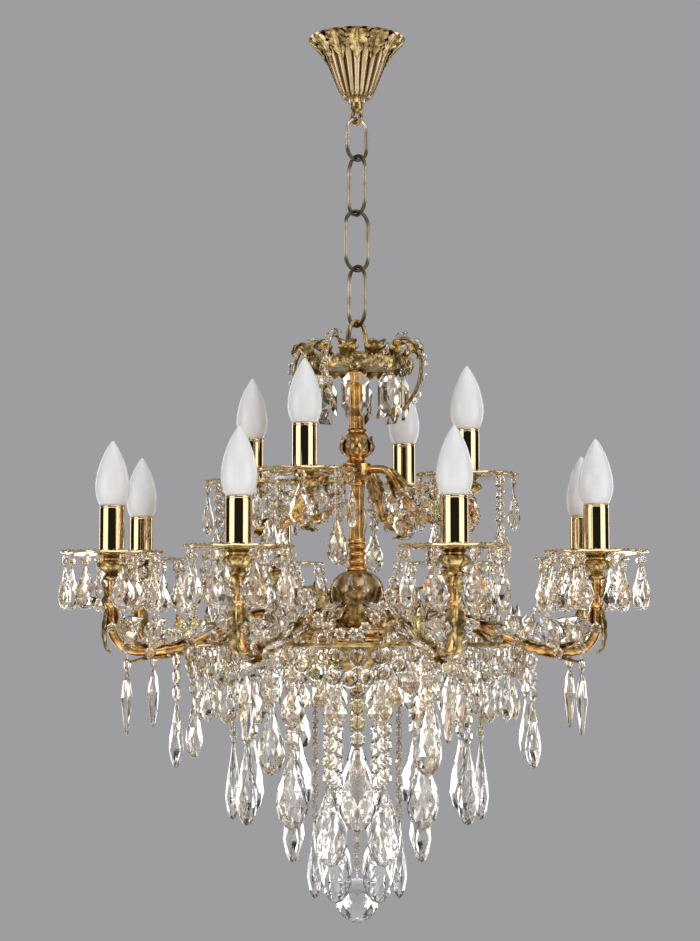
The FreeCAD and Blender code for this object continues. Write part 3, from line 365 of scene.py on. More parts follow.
# ---------------------------------------------------------------- materials
def new_material(name):
    """Empty node material and its Principled shader."""
    material = bpy.data.materials.new(name)
    material.use_nodes = True
    return material, material.node_tree.nodes["Principled BSDF"]


def add_nodes(tree, *kinds):
    """New shader nodes of the named kinds in a node tree."""
    return [tree.nodes.new("ShaderNode" + kind) for kind in kinds]


def limits(node, low, high):
    """Sets the range that a map-range node reads."""
    node.inputs["From Min"].default_value = low
    node.inputs["From Max"].default_value = high


def noise_group():
    """Shared group: object-space noise of a scale, spread between two colours, with a bump."""
    group = bpy.data.node_groups.new("cast_surface", "ShaderNodeTree")
    face = group.interface
    for name, kind, value in (
        ("Light", "NodeSocketColor", (1, 1, 1, 1)),
        ("Dark", "NodeSocketColor", (0, 0, 0, 1)),
        ("Scale", "NodeSocketFloat", 60.0),
        ("Depth", "NodeSocketFloat", 0.3),
        ("Low rough", "NodeSocketFloat", 0.1),
        ("High rough", "NodeSocketFloat", 0.3),
    ):
        socket = face.new_socket(name=name, in_out="INPUT", socket_type=kind)
        socket.default_value = value
    face.new_socket(name="Color", in_out="OUTPUT", socket_type="NodeSocketColor")
    face.new_socket(name="Roughness", in_out="OUTPUT", socket_type="NodeSocketFloat")
    face.new_socket(name="Normal", in_out="OUTPUT", socket_type="NodeSocketVector")
    start, end = group.nodes.new("NodeGroupInput"), group.nodes.new("NodeGroupOutput")
    where, noise = add_nodes(group, "TexCoord", "TexNoise")
    noise.inputs["Detail"].default_value = 5
    ramp, mix, rough, bump = add_nodes(group, "MapRange", "Mix", "MapRange", "Bump")
    limits(ramp, 0.35, 0.65)
    mix.data_type = "RGBA"
    bump.inputs["Distance"].default_value = 0.002
    link = group.links.new
    link(where.outputs["Object"], noise.inputs["Vector"])
    link(start.outputs["Scale"], noise.inputs["Scale"])
    link(noise.outputs["Fac"], ramp.inputs["Value"])
    link(ramp.outputs["Result"], mix.inputs["Factor"])
    link(start.outputs["Dark"], mix.inputs["A"])
    link(start.outputs["Light"], mix.inputs["B"])
    link(noise.outputs["Fac"], rough.inputs["Value"])
    link(start.outputs["High rough"], rough.inputs["To Min"])
    link(start.outputs["Low rough"], rough.inputs["To Max"])
    link(start.outputs["Depth"], bump.inputs["Strength"])
    link(noise.outputs["Fac"], bump.inputs["Height"])
    link(mix.outputs["Result"], end.inputs["Color"])
    link(rough.outputs["Result"], end.inputs["Roughness"])
    link(bump.outputs["Normal"], end.inputs["Normal"])
    return group


CAST = noise_group()


def cast(name, light, dark, scale, depth, rough, metallic=1.0):
    """Material from the shared noise group."""
    material, shader = new_material(name)
    group = material.node_tree.nodes.new("ShaderNodeGroup")
    group.node_tree = CAST
    values = {"Light": (*light, 1), "Dark": (*dark, 1), "Scale": scale, "Depth": depth}
    values |= {"Low rough": rough[0], "High rough": rough[1]}
    for key, value in values.items():
        group.inputs[key].default_value = value
    link = material.node_tree.links.new
    link(group.outputs["Color"], shader.inputs["Base Color"])
    link(group.outputs["Roughness"], shader.inputs["Roughness"])
    link(group.outputs["Normal"], shader.inputs["Normal"])
    shader.inputs["Metallic"].default_value = metallic
    return material


def crystal():
    """Clear cut glass. From piece to piece it takes a faint rose, lilac or straw tint, which is
    full among the gilt arms and fades out down the drops below them."""
    material, shader = new_material("crystal")
    tree = material.node_tree
    link = tree.links.new
    where, cells, ramp = add_nodes(tree, "TexCoord", "TexNoise", "ValToRGB")
    split, fade, mix = add_nodes(tree, "SeparateXYZ", "MapRange", "Mix")
    cells.inputs["Scale"].default_value = 28
    cells.inputs["Detail"].default_value = 1
    stops = (
        (0.30, (0.99, 0.83, 0.69)), (0.43, (0.99, 0.94, 0.81)),
        (0.55, (0.95, 0.90, 0.90)), (0.68, (1.0, 0.91, 0.54)),
    )
    while len(ramp.color_ramp.elements) < len(stops):
        ramp.color_ramp.elements.new(0.5)
    for element, (place, colour) in zip(ramp.color_ramp.elements, stops):
        element.position = place
        element.color = (*colour, 1)
    limits(fade, -0.90, -0.70)
    fade.inputs["To Min"].default_value = 0.1
    mix.data_type = "RGBA"
    mix.inputs["A"].default_value = (1.0, 1.0, 1.0, 1)
    link(where.outputs["Object"], cells.inputs["Vector"])
    link(where.outputs["Object"], split.inputs[0])
    link(split.outputs["Z"], fade.inputs["Value"])
    link(cells.outputs["Fac"], ramp.inputs["Fac"])
    link(fade.outputs["Result"], mix.inputs["Factor"])
    link(ramp.outputs["Color"], mix.inputs["B"])
    link(mix.outputs["Result"], shader.inputs["Base Color"])
    shader.inputs["Transmission Weight"].default_value = 1.0
    shader.inputs["Roughness"].default_value = 0.06
    shader.inputs["IOR"].default_value = 1.52
    return material


def darkened(material, dark, near_range):
    """Puts a dark colour over the cast one where a value is low. Returns the X, Y and Z of the
    object's own coordinates, and the socket that takes the value."""
    tree = material.node_tree
    shader, group = tree.nodes["Principled BSDF"], next(n for n in tree.nodes if n.type == "GROUP")
    where, split, near, mix = add_nodes(tree, "TexCoord", "SeparateXYZ", "MapRange", "Mix")
    limits(near, *near_range)
    mix.data_type = "RGBA"
    mix.inputs["A"].default_value = (*dark, 1)
    tree.links.new(where.outputs["Object"], split.inputs[0])
    tree.links.new(near.outputs["Result"], mix.inputs["Factor"])
    tree.links.new(group.outputs["Color"], mix.inputs["B"])
    tree.links.new(mix.outputs["Result"], shader.inputs["Base Color"])
    return split.outputs, near.inputs["Value"]


def chain_brass():
    """Pale rubbed brass, dark where one link hangs in the next, every 60 mm down the chain."""
    material = cast("pale_brass", (0.74, 0.64, 0.46), (0.40, 0.33, 0.20), 80, 0.15, (0.22, 0.36))
    place, value = darkened(material, (0.10, 0.085, 0.05), (0.12, 0.24))
    link = material.node_tree.links.new
    shift, steps = add_nodes(material.node_tree, "Math", "Math")
    shift.operation, steps.operation = "MULTIPLY_ADD", "PINGPONG"
    shift.inputs[1].default_value, shift.inputs[2].default_value = 1 / 0.06, 0.01 / 0.06
    steps.inputs[1].default_value = 0.5
    link(place["Z"], shift.inputs[0])
    link(shift.outputs[0], steps.inputs[0])
    link(steps.outputs[0], value)
    return material


def reeded_gold(reeds):
    """Polished brass of the canopy, with painted shade in the grooves where its reeds meet."""
    material = cast("reeded_gold", (0.62, 0.47, 0.28), (0.38, 0.27, 0.13), 38, 0.04, (0.16, 0.3))
    # painted shade: the dark colour lies along the grooves between the reeds, where shade falls
    place, value = darkened(material, (0.08, 0.045, 0.02), (0.22, 0.70))
    link = material.node_tree.links.new
    angle, half, wave, size = add_nodes(material.node_tree, "Math", "Math", "Math", "Math")
    angle.operation, half.operation = "ARCTAN2", "MULTIPLY"
    wave.operation, size.operation = "COSINE", "ABSOLUTE"
    half.inputs[1].default_value = reeds / 2
    link(place["Y"], angle.inputs[0])
    link(place["X"], angle.inputs[1])
    link(angle.outputs[0], half.inputs[0])
    link(half.outputs[0], wave.inputs[0])
    link(wave.outputs[0], size.inputs[0])
    link(size.outputs[0], value)
    return material


def opal():
    """Frosted white bulb glass."""
    light, dark = (0.97, 0.97, 0.975), (0.93, 0.93, 0.935)
    material = cast("opal_glass", light, dark, 25, 0.02, (0.22, 0.32), 0.0)
    shader = material.node_tree.nodes["Principled BSDF"]
    shader.inputs["Subsurface Weight"].default_value = 0.4
    shader.inputs["Subsurface Radius"].default_value = (1, 1, 1)
    shader.inputs["Subsurface Scale"].default_value = 0.004
    shader.inputs["Coat Weight"].default_value = 0.3
    return material


# name: light and dark colour, scale of the noise, depth of the bump, roughness, metallic
CASTS = {
    "polished_gold": ((0.84, 0.66, 0.38), (0.78, 0.58, 0.31), 40, 0.0, (0.05, 0.09)),
    "antique_gold": ((0.72, 0.53, 0.23), (0.15, 0.10, 0.04), 150, 0.5, (0.18, 0.4)),
    "copper_gold": ((0.90, 0.58, 0.23), (0.36, 0.18, 0.06), 110, 0.35, (0.15, 0.3)),
    "zinc_steel": ((0.62, 0.63, 0.64), (0.5, 0.51, 0.53), 90, 0.1, (0.3, 0.45)),
    "rod_steel": ((0.55, 0.55, 0.56), (0.45, 0.45, 0.46), 120, 0.1, (0.3, 0.45)),
    "amber_vase": ((0.66, 0.42, 0.19), (0.10, 0.05, 0.02), 90, 0.45, (0.07, 0.24), 0.55),
    "terminal_plastic": ((0.82, 0.80, 0.74), (0.76, 0.74, 0.68), 80, 0.05, (0.4, 0.5), 0.0),
    "holder_plastic": ((0.88, 0.87, 0.83), (0.82, 0.81, 0.77), 80, 0.05, (0.4, 0.5), 0.0),
}
MATERIALS = {name: cast(name, *values) for name, values in CASTS.items()}
MATERIALS |= {"pale_brass": chain_brass(), "opal_glass": opal(), "crystal": crystal()}


def dress_frame():
    """Every CAD node gets the material of its slot."""
    for entry in frame["record"]["subparts"]:
        mesh = NODES[entry["node"]].data
        mesh.materials.clear()
        mesh.materials.append(MATERIALS[entry["material_slot"]])


def glass(name, shape, body, *nodes):
    """Clear cut-glass piece from points and faces, in place of CAD nodes if any are named."""
    piece = dress(mesh_object(name, *shape), MATERIALS["crystal"], body)
    if nodes:
        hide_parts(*nodes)


# ---------------------------------------------------------------- metalwork
def metal(name, shape, slot, body, *nodes, crease=35):
    """Smooth metal piece from points and quads, in place of CAD nodes if any are named."""
    piece = dress(mesh_object(name, *shape, smooth=True), MATERIALS[slot], body)
    piece.data.set_sharp_from_angle(angle=math.radians(crease))
    if nodes:
        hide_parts(*nodes)
    return piece


def acanthus(stations, lobes, thickness, cup=0.25, side=1, rows=49, columns=15):
    """Lobed leaf in the XZ plane. Stations are (x, z, half width) along its spine; across it
    runs from -1 to 1. The margin is notched between the lobes, the edges cup, a vein stands
    along the middle, and side veins run forward from it."""
    u = np.linspace(0, 1, rows)
    line = smooth_line(stations, u)
    spine, half = line[:, :2], np.maximum(line[:, 2], 0.0003)
    ahead = np.gradient(spine, axis=0)
    ahead /= np.linalg.norm(ahead, axis=1)[:, None]
    normal = side * np.stack([-ahead[:, 1], ahead[:, 0]], 1)
    v = np.linspace(-1, 1, columns)
    notch = np.abs(np.sin(np.pi * lobes * u)) ** 0.7
    notch[u > 1 - 0.5 / lobes] = 1
    width = half * (0.62 + 0.38 * notch)
    rib = 0.5 + 0.5 * np.cos(2 * np.pi * (lobes * (u[:, None] - 0.10 * np.abs(v)) + 0.5))
    rise = cup * half[:, None] * v ** 2
    rise = rise + 0.10 * half[:, None] * rib * np.abs(v) * (1.2 - np.abs(v))
    rise = rise - 0.14 * half[:, None] * np.exp(-((v / 0.13) ** 2))
    sweep = (0.22 * width[:, None] * np.abs(v) ** 1.5)[..., None]
    swept = spine[:, None, :] + ahead[:, None, :] * sweep * (1 - u[:, None, None])
    flat = swept + normal[:, None, :] * rise[..., None]
    front = np.stack([flat[..., 0], width[:, None] * v, flat[..., 1]], 2)
    flat_normals = np.stack([normal[:, 0], 0 * u, normal[:, 1]], 1)[:, None, :]
    points, faces = thick_sheet(front, np.broadcast_to(flat_normals, front.shape), thickness)
    return points, faces[:, ::-1] if side > 0 else faces


def leaf_ring(node, leaf, body=LAMP):
    """Cast leaves round the axis, in place of the plain ones of a node."""
    metal(node + "_cast", repeat(*leaf, turned_places(node)), "antique_gold", body, node)


def spine_from(out, up, stations):
    """Stations of a leaf in metres, from rows of (out, up, half width) in millimetres beside a
    point of the plane of radius and height."""
    return np.array(stations) * MM + (out, up, 0)


def canopy_radius(share):
    """Radius of the canopy in millimetres, at a share of its height down from the ceiling: a
    taper and a flare."""
    return 16 + 25 * (1 - share) + 11 * (1 - share) ** 8


def leaves():
    """Cast leaves of the canopy, the crown, the arm hub, the vase and the dish."""
    (_, _, low), (rim, _, _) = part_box("crown_plate")
    crown = spine_from(rim, low + 9.3 * MM, [
        (-16, 0, 5), (-9, 3, 9), (-3, 8, 11.5), (2, 13.5, 10), (8, 15, 7.5), (12.5, 11, 4),
        (11, 6.5, 0.8),
    ])
    leaf_ring("crown_leaves", acanthus(crown, 5, 0.9 * MM))
    _, (_, _, top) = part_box("arm_hub")
    hub = spine_from(0, top, [
        (28, 0.3, 6.5), (36, 2.5, 10), (45, 13, 13), (53, 27, 12), (62, 39, 8.5), (70, 43, 4.5),
        (75.5, 40, 0.8),
    ])
    leaf_ring("hub_leaves", acanthus(hub, 6, 1.2 * MM))
    vase = spine_from(0, top, [
        (19.6, 5.6, 4.5), (24, 13, 7), (27.4, 23, 8), (30.2, 33, 6.5), (33, 41, 3.4), (35, 44, 0.6),
    ])
    dish = spine_from(0, top, [
        (40.5, -20.5, 7.2), (34.5, -29.5, 7.4), (24.6, -43.2, 6), (17.2, -52.8, 4),
        (13.5, -61.5, 0.7),
    ])
    above = turned_places("stem_leaves", lambda middle: middle[2] > top)
    below = turned_places("stem_leaves", lambda middle: middle[2] < top)
    stem = [
        repeat(*acanthus(vase, 5, 0.8 * MM, 0.1, -1), above),
        repeat(*acanthus(dish, 4, 0.8 * MM, 0.1), below),
    ]
    metal("stem_leaves_cast", join(stem), "antique_gold", LAMP, "stem_leaves")
    (_, _, foot), (_, _, ceiling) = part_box("canopy")
    shares = np.array([0.46, 0.40, 0.33, 0.25, 0.17, 0.10, 0.035])
    widths = np.array([0.8, 3.4, 6.0, 8.8, 11.4, 12.4, 9.5])
    rim = np.stack([
        (canopy_radius(shares) + 1.7) * MM, ceiling - (ceiling - foot) * shares, widths * MM,
    ], 1)
    leaf_ring("canopy_leaves", acanthus(rim, 4, 0.9 * MM, 0.06, -1), "ceiling_mount")


def rounded_line(corners, steps=14):
    """Points along straight runs whose corners are the largest even arcs, in the XZ plane: each
    arc takes 45% of the shorter run, and its points turn evenly about its centre."""
    corners = np.asarray(corners, float)
    points = [corners[:1]]
    for a, b, c in zip(corners, corners[1:], corners[2:]):
        trim = 0.45 * min(np.linalg.norm(a - b), np.linalg.norm(c - b))
        u, v = (a - b) / np.linalg.norm(a - b), (c - b) / np.linalg.norm(c - b)
        half = math.acos(np.clip(u @ v, -1, 1)) / 2
        centre = b + (u + v) / np.linalg.norm(u + v) * trim * math.tan(half) / math.sin(half)
        turn = math.pi - 2 * half
        t = np.linspace(0, 1, steps)[:, None]
        first, last = b + u * trim - centre, b + v * trim - centre
        arc = (np.sin((1 - t) * turn) * first + np.sin(t * turn) * last) / math.sin(turn)
        points.append(centre + arc)
    points.append(corners[-1:])
    return np.concatenate(points)


def along(line, s):
    """Points and left-hand unit normals of a line at distances s, and its length."""
    steps = np.linalg.norm(np.diff(line, axis=0), axis=1)
    total = np.concatenate([[0], np.cumsum(steps)])

    def at(distance):
        return np.stack([np.interp(distance, total, line[:, i]) for i in (0, 1)], 1)

    ahead = at(s + 1 * MM) - at(s - 1 * MM)
    ahead /= np.linalg.norm(ahead, axis=1)[:, None]
    return at(s), np.stack([-ahead[:, 1], ahead[:, 0]], 1), total[-1]


def arm_leaf(line, start, run, side, lift, half):
    """Cast leaf that springs from a share of an arm's length and runs along it, backwards if
    run is negative, on its upper or lower side, its tip lifted off."""
    t = np.array([0, 0.16, 0.34, 0.52, 0.7, 0.86, 0.96, 1.0])
    widths = half * np.array([0.5, 0.85, 1.0, 0.95, 0.78, 0.5, 0.25, 0.05])
    total = along(line, np.zeros(1))[2]
    near, normal, _ = along(line, start * total + run * t)
    rise = 4.7 * MM + lift * t ** 2.5 - 0.35 * lift * np.clip(t - 0.86, 0, 1) / 0.14
    stations = np.column_stack([near + side * normal * rise[:, None], widths])
    return acanthus(stations, 5, 0.9 * MM, 0.22, side if run > 0 else -side, *SMALL_LEAF)


def arm_lines():
    """Centre lines of a lower and an upper arm, in the plane of radius and height."""
    low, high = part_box("arm_hub")
    lower = [(32, 0), (62, 0), (100, 30), (151.05, 6), (204.05, -14), (265, -13), (265, 67)]
    lower = rounded_line(np.array(lower) * MM + (0, (low[2] + high[2]) / 2))
    upper = [(11, 0), (37, 0), (66.78, -52), (126, -62), (126, -29)]
    upper = rounded_line(np.array(upper) * MM + (0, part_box("upper_hub")[0][2] + 12 * MM))
    return lower, upper


def spray(line, shares):
    """Glass leaves, glass rosettes and a brass collar at each share of an arm's length."""
    leaf, flower = blade(), rosette()
    near, normal, _ = along(line, np.array(shares) * along(line, np.zeros(1))[2])
    crystals, collars = [], []
    for n, (spot, up) in enumerate(zip(near, normal)):
        centre, over = np.array([spot[0], 0, spot[1]]), np.array([up[0], 0, up[1]])
        ahead = np.array([up[1], 0, -up[0]])
        collars.append((centre, np.stack([over, np.cross(ahead, over), ahead], 1)))
        odd, third = n % 2, n % 3
        for side in (-1, 0, 1):
            lean = math.radians(66 if odd else 44)
            aside = np.array([0, side * math.sin(lean), 0])
            rise = over * math.cos(lean) + aside + ahead * (0.25 - 0.2 * third)
            rise /= np.linalg.norm(rise)
            thin = np.cross(rise, ahead)
            thin /= np.linalg.norm(thin)
            length = (27 + 3 * third) * MM
            axes = [thin * 6 * MM, np.cross(thin, rise) * 15 * MM, rise * length]
            crystals.append((leaf, (centre + rise * (5.2 * MM + length), np.stack(axes, 1))))
            if side:
                low = math.radians(100 if odd else 82)
                out = over * math.cos(low) + np.array([0, side * math.sin(low), 0])
                axes = [out * 6 * MM, ahead * 12.5 * MM, np.cross(out, ahead) * 12.5 * MM]
                crystals.append((flower, (centre + out * 8.5 * MM, np.stack(axes, 1))))
    return join([repeat(*shape, [place]) for shape, place in crystals]), collars


def arm_sprays():
    """Small glass leaves and rosettes clipped along the arms, leaning out on both sides, each
    on a brass collar."""
    lower, upper = arm_lines()
    collar = lathe(np.array([(4.6, -1.1), (5.7, -0.8), (5.9, 0), (5.7, 0.8), (4.6, 1.1)]) * MM, 20)
    for node, line, shares in (
        ("lower_arms", lower, (0.16, 0.24, 0.36, 0.44, 0.52, 0.66, 0.74, 0.82)),
        ("upper_arms", upper, (0.34, 0.5, 0.66)),
    ):
        crystals, collars = spray(line, shares)
        places = turned_places(node)
        glass(node + "_sprays", repeat(*crystals, places), LAMP)
        rings = repeat(*repeat(*collar, collars), places)
        metal(node + "_collars", rings, "antique_gold", LAMP)


def vase_leaves():
    """Cast leaves that lie down the shoulder of the vase: their spines follow the widest radius
    of the vase at each height, half a millimetre outside it."""
    points = islands("vase")[0]
    level, index = np.unique(np.round(points[:, 2], 4), return_inverse=True)
    widest = np.zeros(len(level))
    np.maximum.at(widest, index.ravel(), np.hypot(points[:, 0], points[:, 1]))
    shares = np.array([0.94, 0.87, 0.80, 0.72, 0.64, 0.56, 0.48])
    z = level[0] + (level[-1] - level[0]) * shares
    half = np.array([1.4, 3.0, 4.2, 4.6, 3.6, 2.0, 0.4]) * MM
    spine = np.stack([np.interp(z, level, widest) + 0.5 * MM, z, half], 1)
    leaf = acanthus(spine, 4, 0.8 * MM, -0.1, 1, *SMALL_LEAF)
    metal("vase_shoulder_leaves", repeat(*leaf, ring_places(18, 10)), "pale_brass", LAMP)


def hub_detail():
    """Cast leaves round the upper hub, and a gallery with flowers and pearls round the crown."""
    bud = spine_from(0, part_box("upper_hub")[0][2], [
        (10.6, 26, 2.6), (15.4, 30, 4.2), (17.4, 34, 5.4), (17.2, 39, 5.2),
        (15.6, 43.5, 4.0), (16.4, 46.5, 2.4), (18.4, 46.0, 0.6),
    ])
    leaf = acanthus(bud, 4, 0.8 * MM, 0.15, -1)
    metal("upper_hub_leaves", repeat(*leaf, ring_places(20, 8)), "antique_gold", LAMP)
    (_, _, low), (rim, _, _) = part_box("crown_plate")
    # out from the rim, up from its foot, ripple, lift
    gallery = np.array([
        (0.2, 9.6, 0, 0), (0.2, 4.0, 0.1, 0.6), (-0.2, -0.5, 0.4, 2.2), (0.9, -0.6, 0.5, 2.2),
        (1.5, 3.0, 0.3, 0.6), (1.7, 8.6, 0.2, 0.3), (1.2, 9.8, 0, 0),
    ]) * MM
    gallery = lathe(gallery[:, :2] + (rim, low), 288, 36, gallery[:, 2], gallery[:, 3])
    flowers, pearls = [], []
    for i in range(24):
        out, side, up = around(math.radians(15 * i + 7.5))
        place = out * (rim + 1.8 * MM) + up * (low + 4.9 * MM)
        flowers.append((place, np.stack([out * 3.4 * MM, side * 9 * MM, up * 9 * MM], 1)))
    for a in 2 * np.pi * np.arange(72) / 72:
        radius = rim + 1 * MM
        place = (radius * math.cos(a), radius * math.sin(a), low + 10.4 * MM)
        pearls.append((place, np.eye(3)))
    metal("crown_flowers", repeat(*rosette(), flowers), "antique_gold", LAMP, crease=20)
    metal("crown_gallery", gallery, "antique_gold", LAMP)
    pearls = repeat(*pearl(1.4 * MM, 1 * MM), pearls)
    metal("crown_pearls", pearls, "antique_gold", LAMP, crease=80)


def arm_leaves():
    """Cast leaves along the arms: sprays from the knops, and a calyx round the rise to the
    cup. Each row is start as a share, then run, side, lift and half width, in metres."""
    lower, upper = arm_lines()
    on_lower = (
        (0.31, 0.046, 1, 0.012, 0.0085), (0.31, 0.038, -1, 0.009, 0.0075),
        (0.29, -0.040, 1, 0.010, 0.0075), (0.29, -0.030, -1, 0.006, 0.0065),
        (0.60, 0.044, 1, 0.009, 0.0080), (0.60, 0.040, -1, 0.009, 0.0075),
        (0.60, -0.036, 1, 0.007, 0.0070), (0.885, -0.040, 1, 0.010, 0.0080),
        (0.885, -0.040, -1, 0.012, 0.0080), (0.915, 0.020, 1, 0.007, 0.0065),
        (0.915, 0.020, -1, 0.007, 0.0065),
    )
    on_upper = (
        (0.88, -0.034, 1, 0.008, 0.0070), (0.88, -0.034, -1, 0.010, 0.0070),
        (0.16, 0.036, 1, 0.010, 0.0075), (0.16, 0.030, -1, 0.006, 0.0065),
    )
    for word, line, rows in (("lower", lower, on_lower), ("upper", upper, on_upper)):
        shape = join([arm_leaf(line, *row) for row in rows])
        places = turned_places(word + "_arms")
        metal(word + "_arm_leaves", repeat(*shape, places), "antique_gold", LAMP)


def canopy_bell():
    """Reeded canopy: a taper that flares at the ceiling, of 20 round reeds, with a rounded floor
    and a hollow inside."""
    (_, _, foot), (_, _, ceiling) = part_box("canopy")
    share = np.linspace(0, 1, 25)
    radius = canopy_radius(share)
    height = ceiling / MM - (ceiling - foot) / MM * share
    floor, wall, thick, bore = height[-1], 2.8, 2.5, 5.1
    depth = 1.3 * np.sin(np.pi * share) ** 0.6
    outside = np.stack([radius, height], 1)[::-1][1:]
    inside = np.stack([radius - wall, height], 1)
    inside[-1] = (12.5, floor + thick)
    rounding = [(13.6, floor), (15.4, floor + 1.0)]
    profile = np.concatenate([[(bore, floor)], rounding, outside, inside, [(bore, floor + thick)]])
    ripple = np.concatenate([[0, 0, 0.2], depth[::-1][1:], 0 * depth, [0]])
    shape = lathe(profile * MM, 240, CANOPY_REEDS, ripple * MM, reeded=True)
    piece = metal("canopy_fluted", shape, "polished_gold", "ceiling_mount", "canopy", crease=35)
    piece.data.materials[0] = reeded_gold(CANOPY_REEDS)


def on_solids(node, shape, level, turned=True):
    """One shape on the axis of every solid of a node, from a height that level picks out of the
    solid's lowest and highest."""
    places = []
    for points in islands(node):
        middle, low, high = box_middle(points)
        seat = np.array([middle[0], middle[1], level(low[2], high[2])])
        places.append((seat, turned_out(azimuth_of(middle)) if turned else np.eye(3)))
    return repeat(*shape, places)


def pans():
    """Scalloped drip pans with a beaded rim and shallow radial flutes."""
    scallops, radius, wave = 16, 50.6 * MM, 0.9 * MM
    # radius, height, ripple, lift
    rows = np.array([
        (4.1, 0, 0, 0), (14, 0.05, 0, 0), (26, 0, 0, 0.1), (33, 0.3, 0, 0.25),
        (41, 1.5, 0.2, 0.4), (46, 2.2, 0.6, 0.5), (48.4, 2.5, 0.8, 0.5), (49.4, 3.0, 0.9, 0.4),
        (50.6, 3.3, 0.9, 0.3), (51.8, 3.0, 0.9, 0.3), (52.3, 2.3, 0.9, 0.3), (51.8, 1.5, 0.9, 0.2),
        (50.4, 1.1, 0.8, 0.1), (46, 0.4, 0.3, 0), (33, -1.5, 0, 0), (14, -1.6, 0, 0),
        (4.1, -1.6, 0, 0),
    ]) * MM
    plate = lathe(rows[:, :2], 128, scallops, rows[:, 2], rows[:, 3])
    rim = []
    for a in 2 * np.pi * np.arange(64) / 64:
        r = radius + wave * math.cos(scallops * a)
        rim.append(((r * math.cos(a), r * math.sin(a), 3.4 * MM), np.eye(3)))
    pearls = repeat(*pearl(1.15 * MM, 0.8 * MM), rim)

    def seat(low, high):
        return low + 1.6 * MM

    plates = on_solids("drip_pans", plate, seat)
    metal("drip_pans_cast", plates, "polished_gold", LAMP, "drip_pans")
    metal("pan_pearls", on_solids("drip_pans", pearls, seat), "antique_gold", LAMP, crease=80)


def cups():
    """Candle cups cast as a bud of petals on a beaded stalk."""
    # radius, height, ripple
    rows = np.array([
        (4.6, -26, 0), (6, -26, 0), (8, -25, 0), (9.3, -23.4, 0), (9.2, -22, 0), (7, -20.2, 0),
        (6.4, -18.7, 0), (7.4, -17.6, 0.2), (10.5, -15.5, 0.7), (13.4, -13.3, 0.9),
        (14.9, -11.2, 0.95), (15, -9.4, 0.7), (13.6, -6.9, 0.4), (10.4, -5.4, 0.1), (9.3, -5, 0),
        (9.6, -3.6, 0), (11.6, -2.3, 0.2), (12.7, -1.7, 0.3), (4.6, -1.7, 0),
    ]) * MM
    body = lathe(rows[:, :2], 80, 10, rows[:, 2])
    bodies = on_solids("candle_cups", body, lambda low, high: high + 1.6 * MM)
    metal("candle_cups_cast", bodies, "antique_gold", LAMP, "candle_cups")


def sleeves():
    """Polished candle sleeves with a rolled lip and a rounded foot ring."""
    foot = [
        (12.2, 0), (12.75, 0), (12.95, 0.35), (12.95, 1.5), (12.6, 1.9), (12.55, 2.3), (12.9, 3.0),
        (12.95, 3.4), (12.95, 4.2),
    ]
    lip = [
        (12.95, 45.6), (12.95, 46.4), (12.7, 47.2), (12.7, 47.6), (12.98, 48.2), (12.98, 49.3),
        (12.7, 49.9), (12.4, 49.95), (12.2, 49.6),
    ]
    tube = lathe(np.array(foot + lip) * MM, 96)
    tubes = on_solids("candle_sleeves", tube, lambda low, high: low, turned=False)
    metal("candle_sleeves_rolled", tubes, "polished_gold", LAMP, "candle_sleeves", crease=24)


# ---------------------------------------------------------------- crystals
def bead_places(node):
    """Centre, axes and size of each bead: its thin direction, and a flat across it near Z."""
    places = []
    for points in islands(node):
        centre = points.mean(0)
        thin = np.linalg.svd(points - centre)[2][2]
        across = (points - centre) @ thin
        ring = points[np.abs(across) < 0.3 * np.abs(across).max()] - centre
        corner = ring[0] / np.linalg.norm(ring[0])
        side = np.cross(thin, corner)
        turns = np.radians(30 + 60 * np.arange(6))
        flats = np.outer(np.cos(turns), corner) + np.outer(np.sin(turns), side)
        up = flats[np.argmax(flats[:, 2])]
        width = 2 * np.linalg.norm(ring[0]) * math.cos(math.pi / 6)
        depth = 2 * np.abs(across).max()
        axes = np.stack([thin * depth, np.cross(up, thin) * width, up * width], 1)
        places.append((centre, axes))
    return places


def beads(node, shape):
    """Cut beads in place of a node's plain ones, each on a thin wire pin."""
    places = bead_places(node)
    glass(node + "_cut", repeat(*shape, places), LAMP, node)
    pin = lattice([(-0.54, 0), (-0.53, 1), (0.53, 1), (0.54, 0)], 6)
    wire = 0.4 * MM
    pins = []
    for centre, axes in places:
        thin = axes[:, 0] / np.linalg.norm(axes[:, 0])
        up, side = axes[:, 2], np.cross(axes[:, 2] / np.linalg.norm(axes[:, 2]), thin)
        pins.append((centre, np.stack([wire * thin, wire * side, up], 1)))
    metal(node + "_pins", repeat(*pin, pins), "antique_gold", LAMP, crease=70)


def hanging(points):
    """Origin at the top and axes of a hanging solid: thickness, width, height."""
    centre, low, high = box_middle(points)
    flat = points[:, :2] - centre[:2]
    wide = np.linalg.svd(flat)[2][0]
    thin = np.array([-wide[1], wide[0]])
    width, depth = 2 * np.abs(flat @ wide).max(), 2 * np.abs(flat @ thin).max()
    axes = np.zeros((3, 3))
    axes[:2, 0], axes[:2, 1], axes[2, 2] = thin * depth, wide * width, high[2] - low[2]
    return np.array([centre[0], centre[1], high[2]]), axes


def sorted_by_height(node, place):
    """Places of a node's solids, those of the crown apart from those below it."""
    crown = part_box("crown_plate")[0][2] - 80 * MM
    above, below = [], []
    for points in islands(node):
        (above if points.mean(0)[2] > crown else below).append(place(points))
    return above, below


def drops(node):
    """Faceted pear drops, and octagonal ones under the crown, in place of a node's plain ones."""
    tablets, pears = sorted_by_height(node, hanging)
    shapes = [repeat(*pear(), pears)]
    if tablets:
        shapes.append(repeat(*tablet(), tablets))
    glass(node + "_cut", join(shapes), LAMP, node)


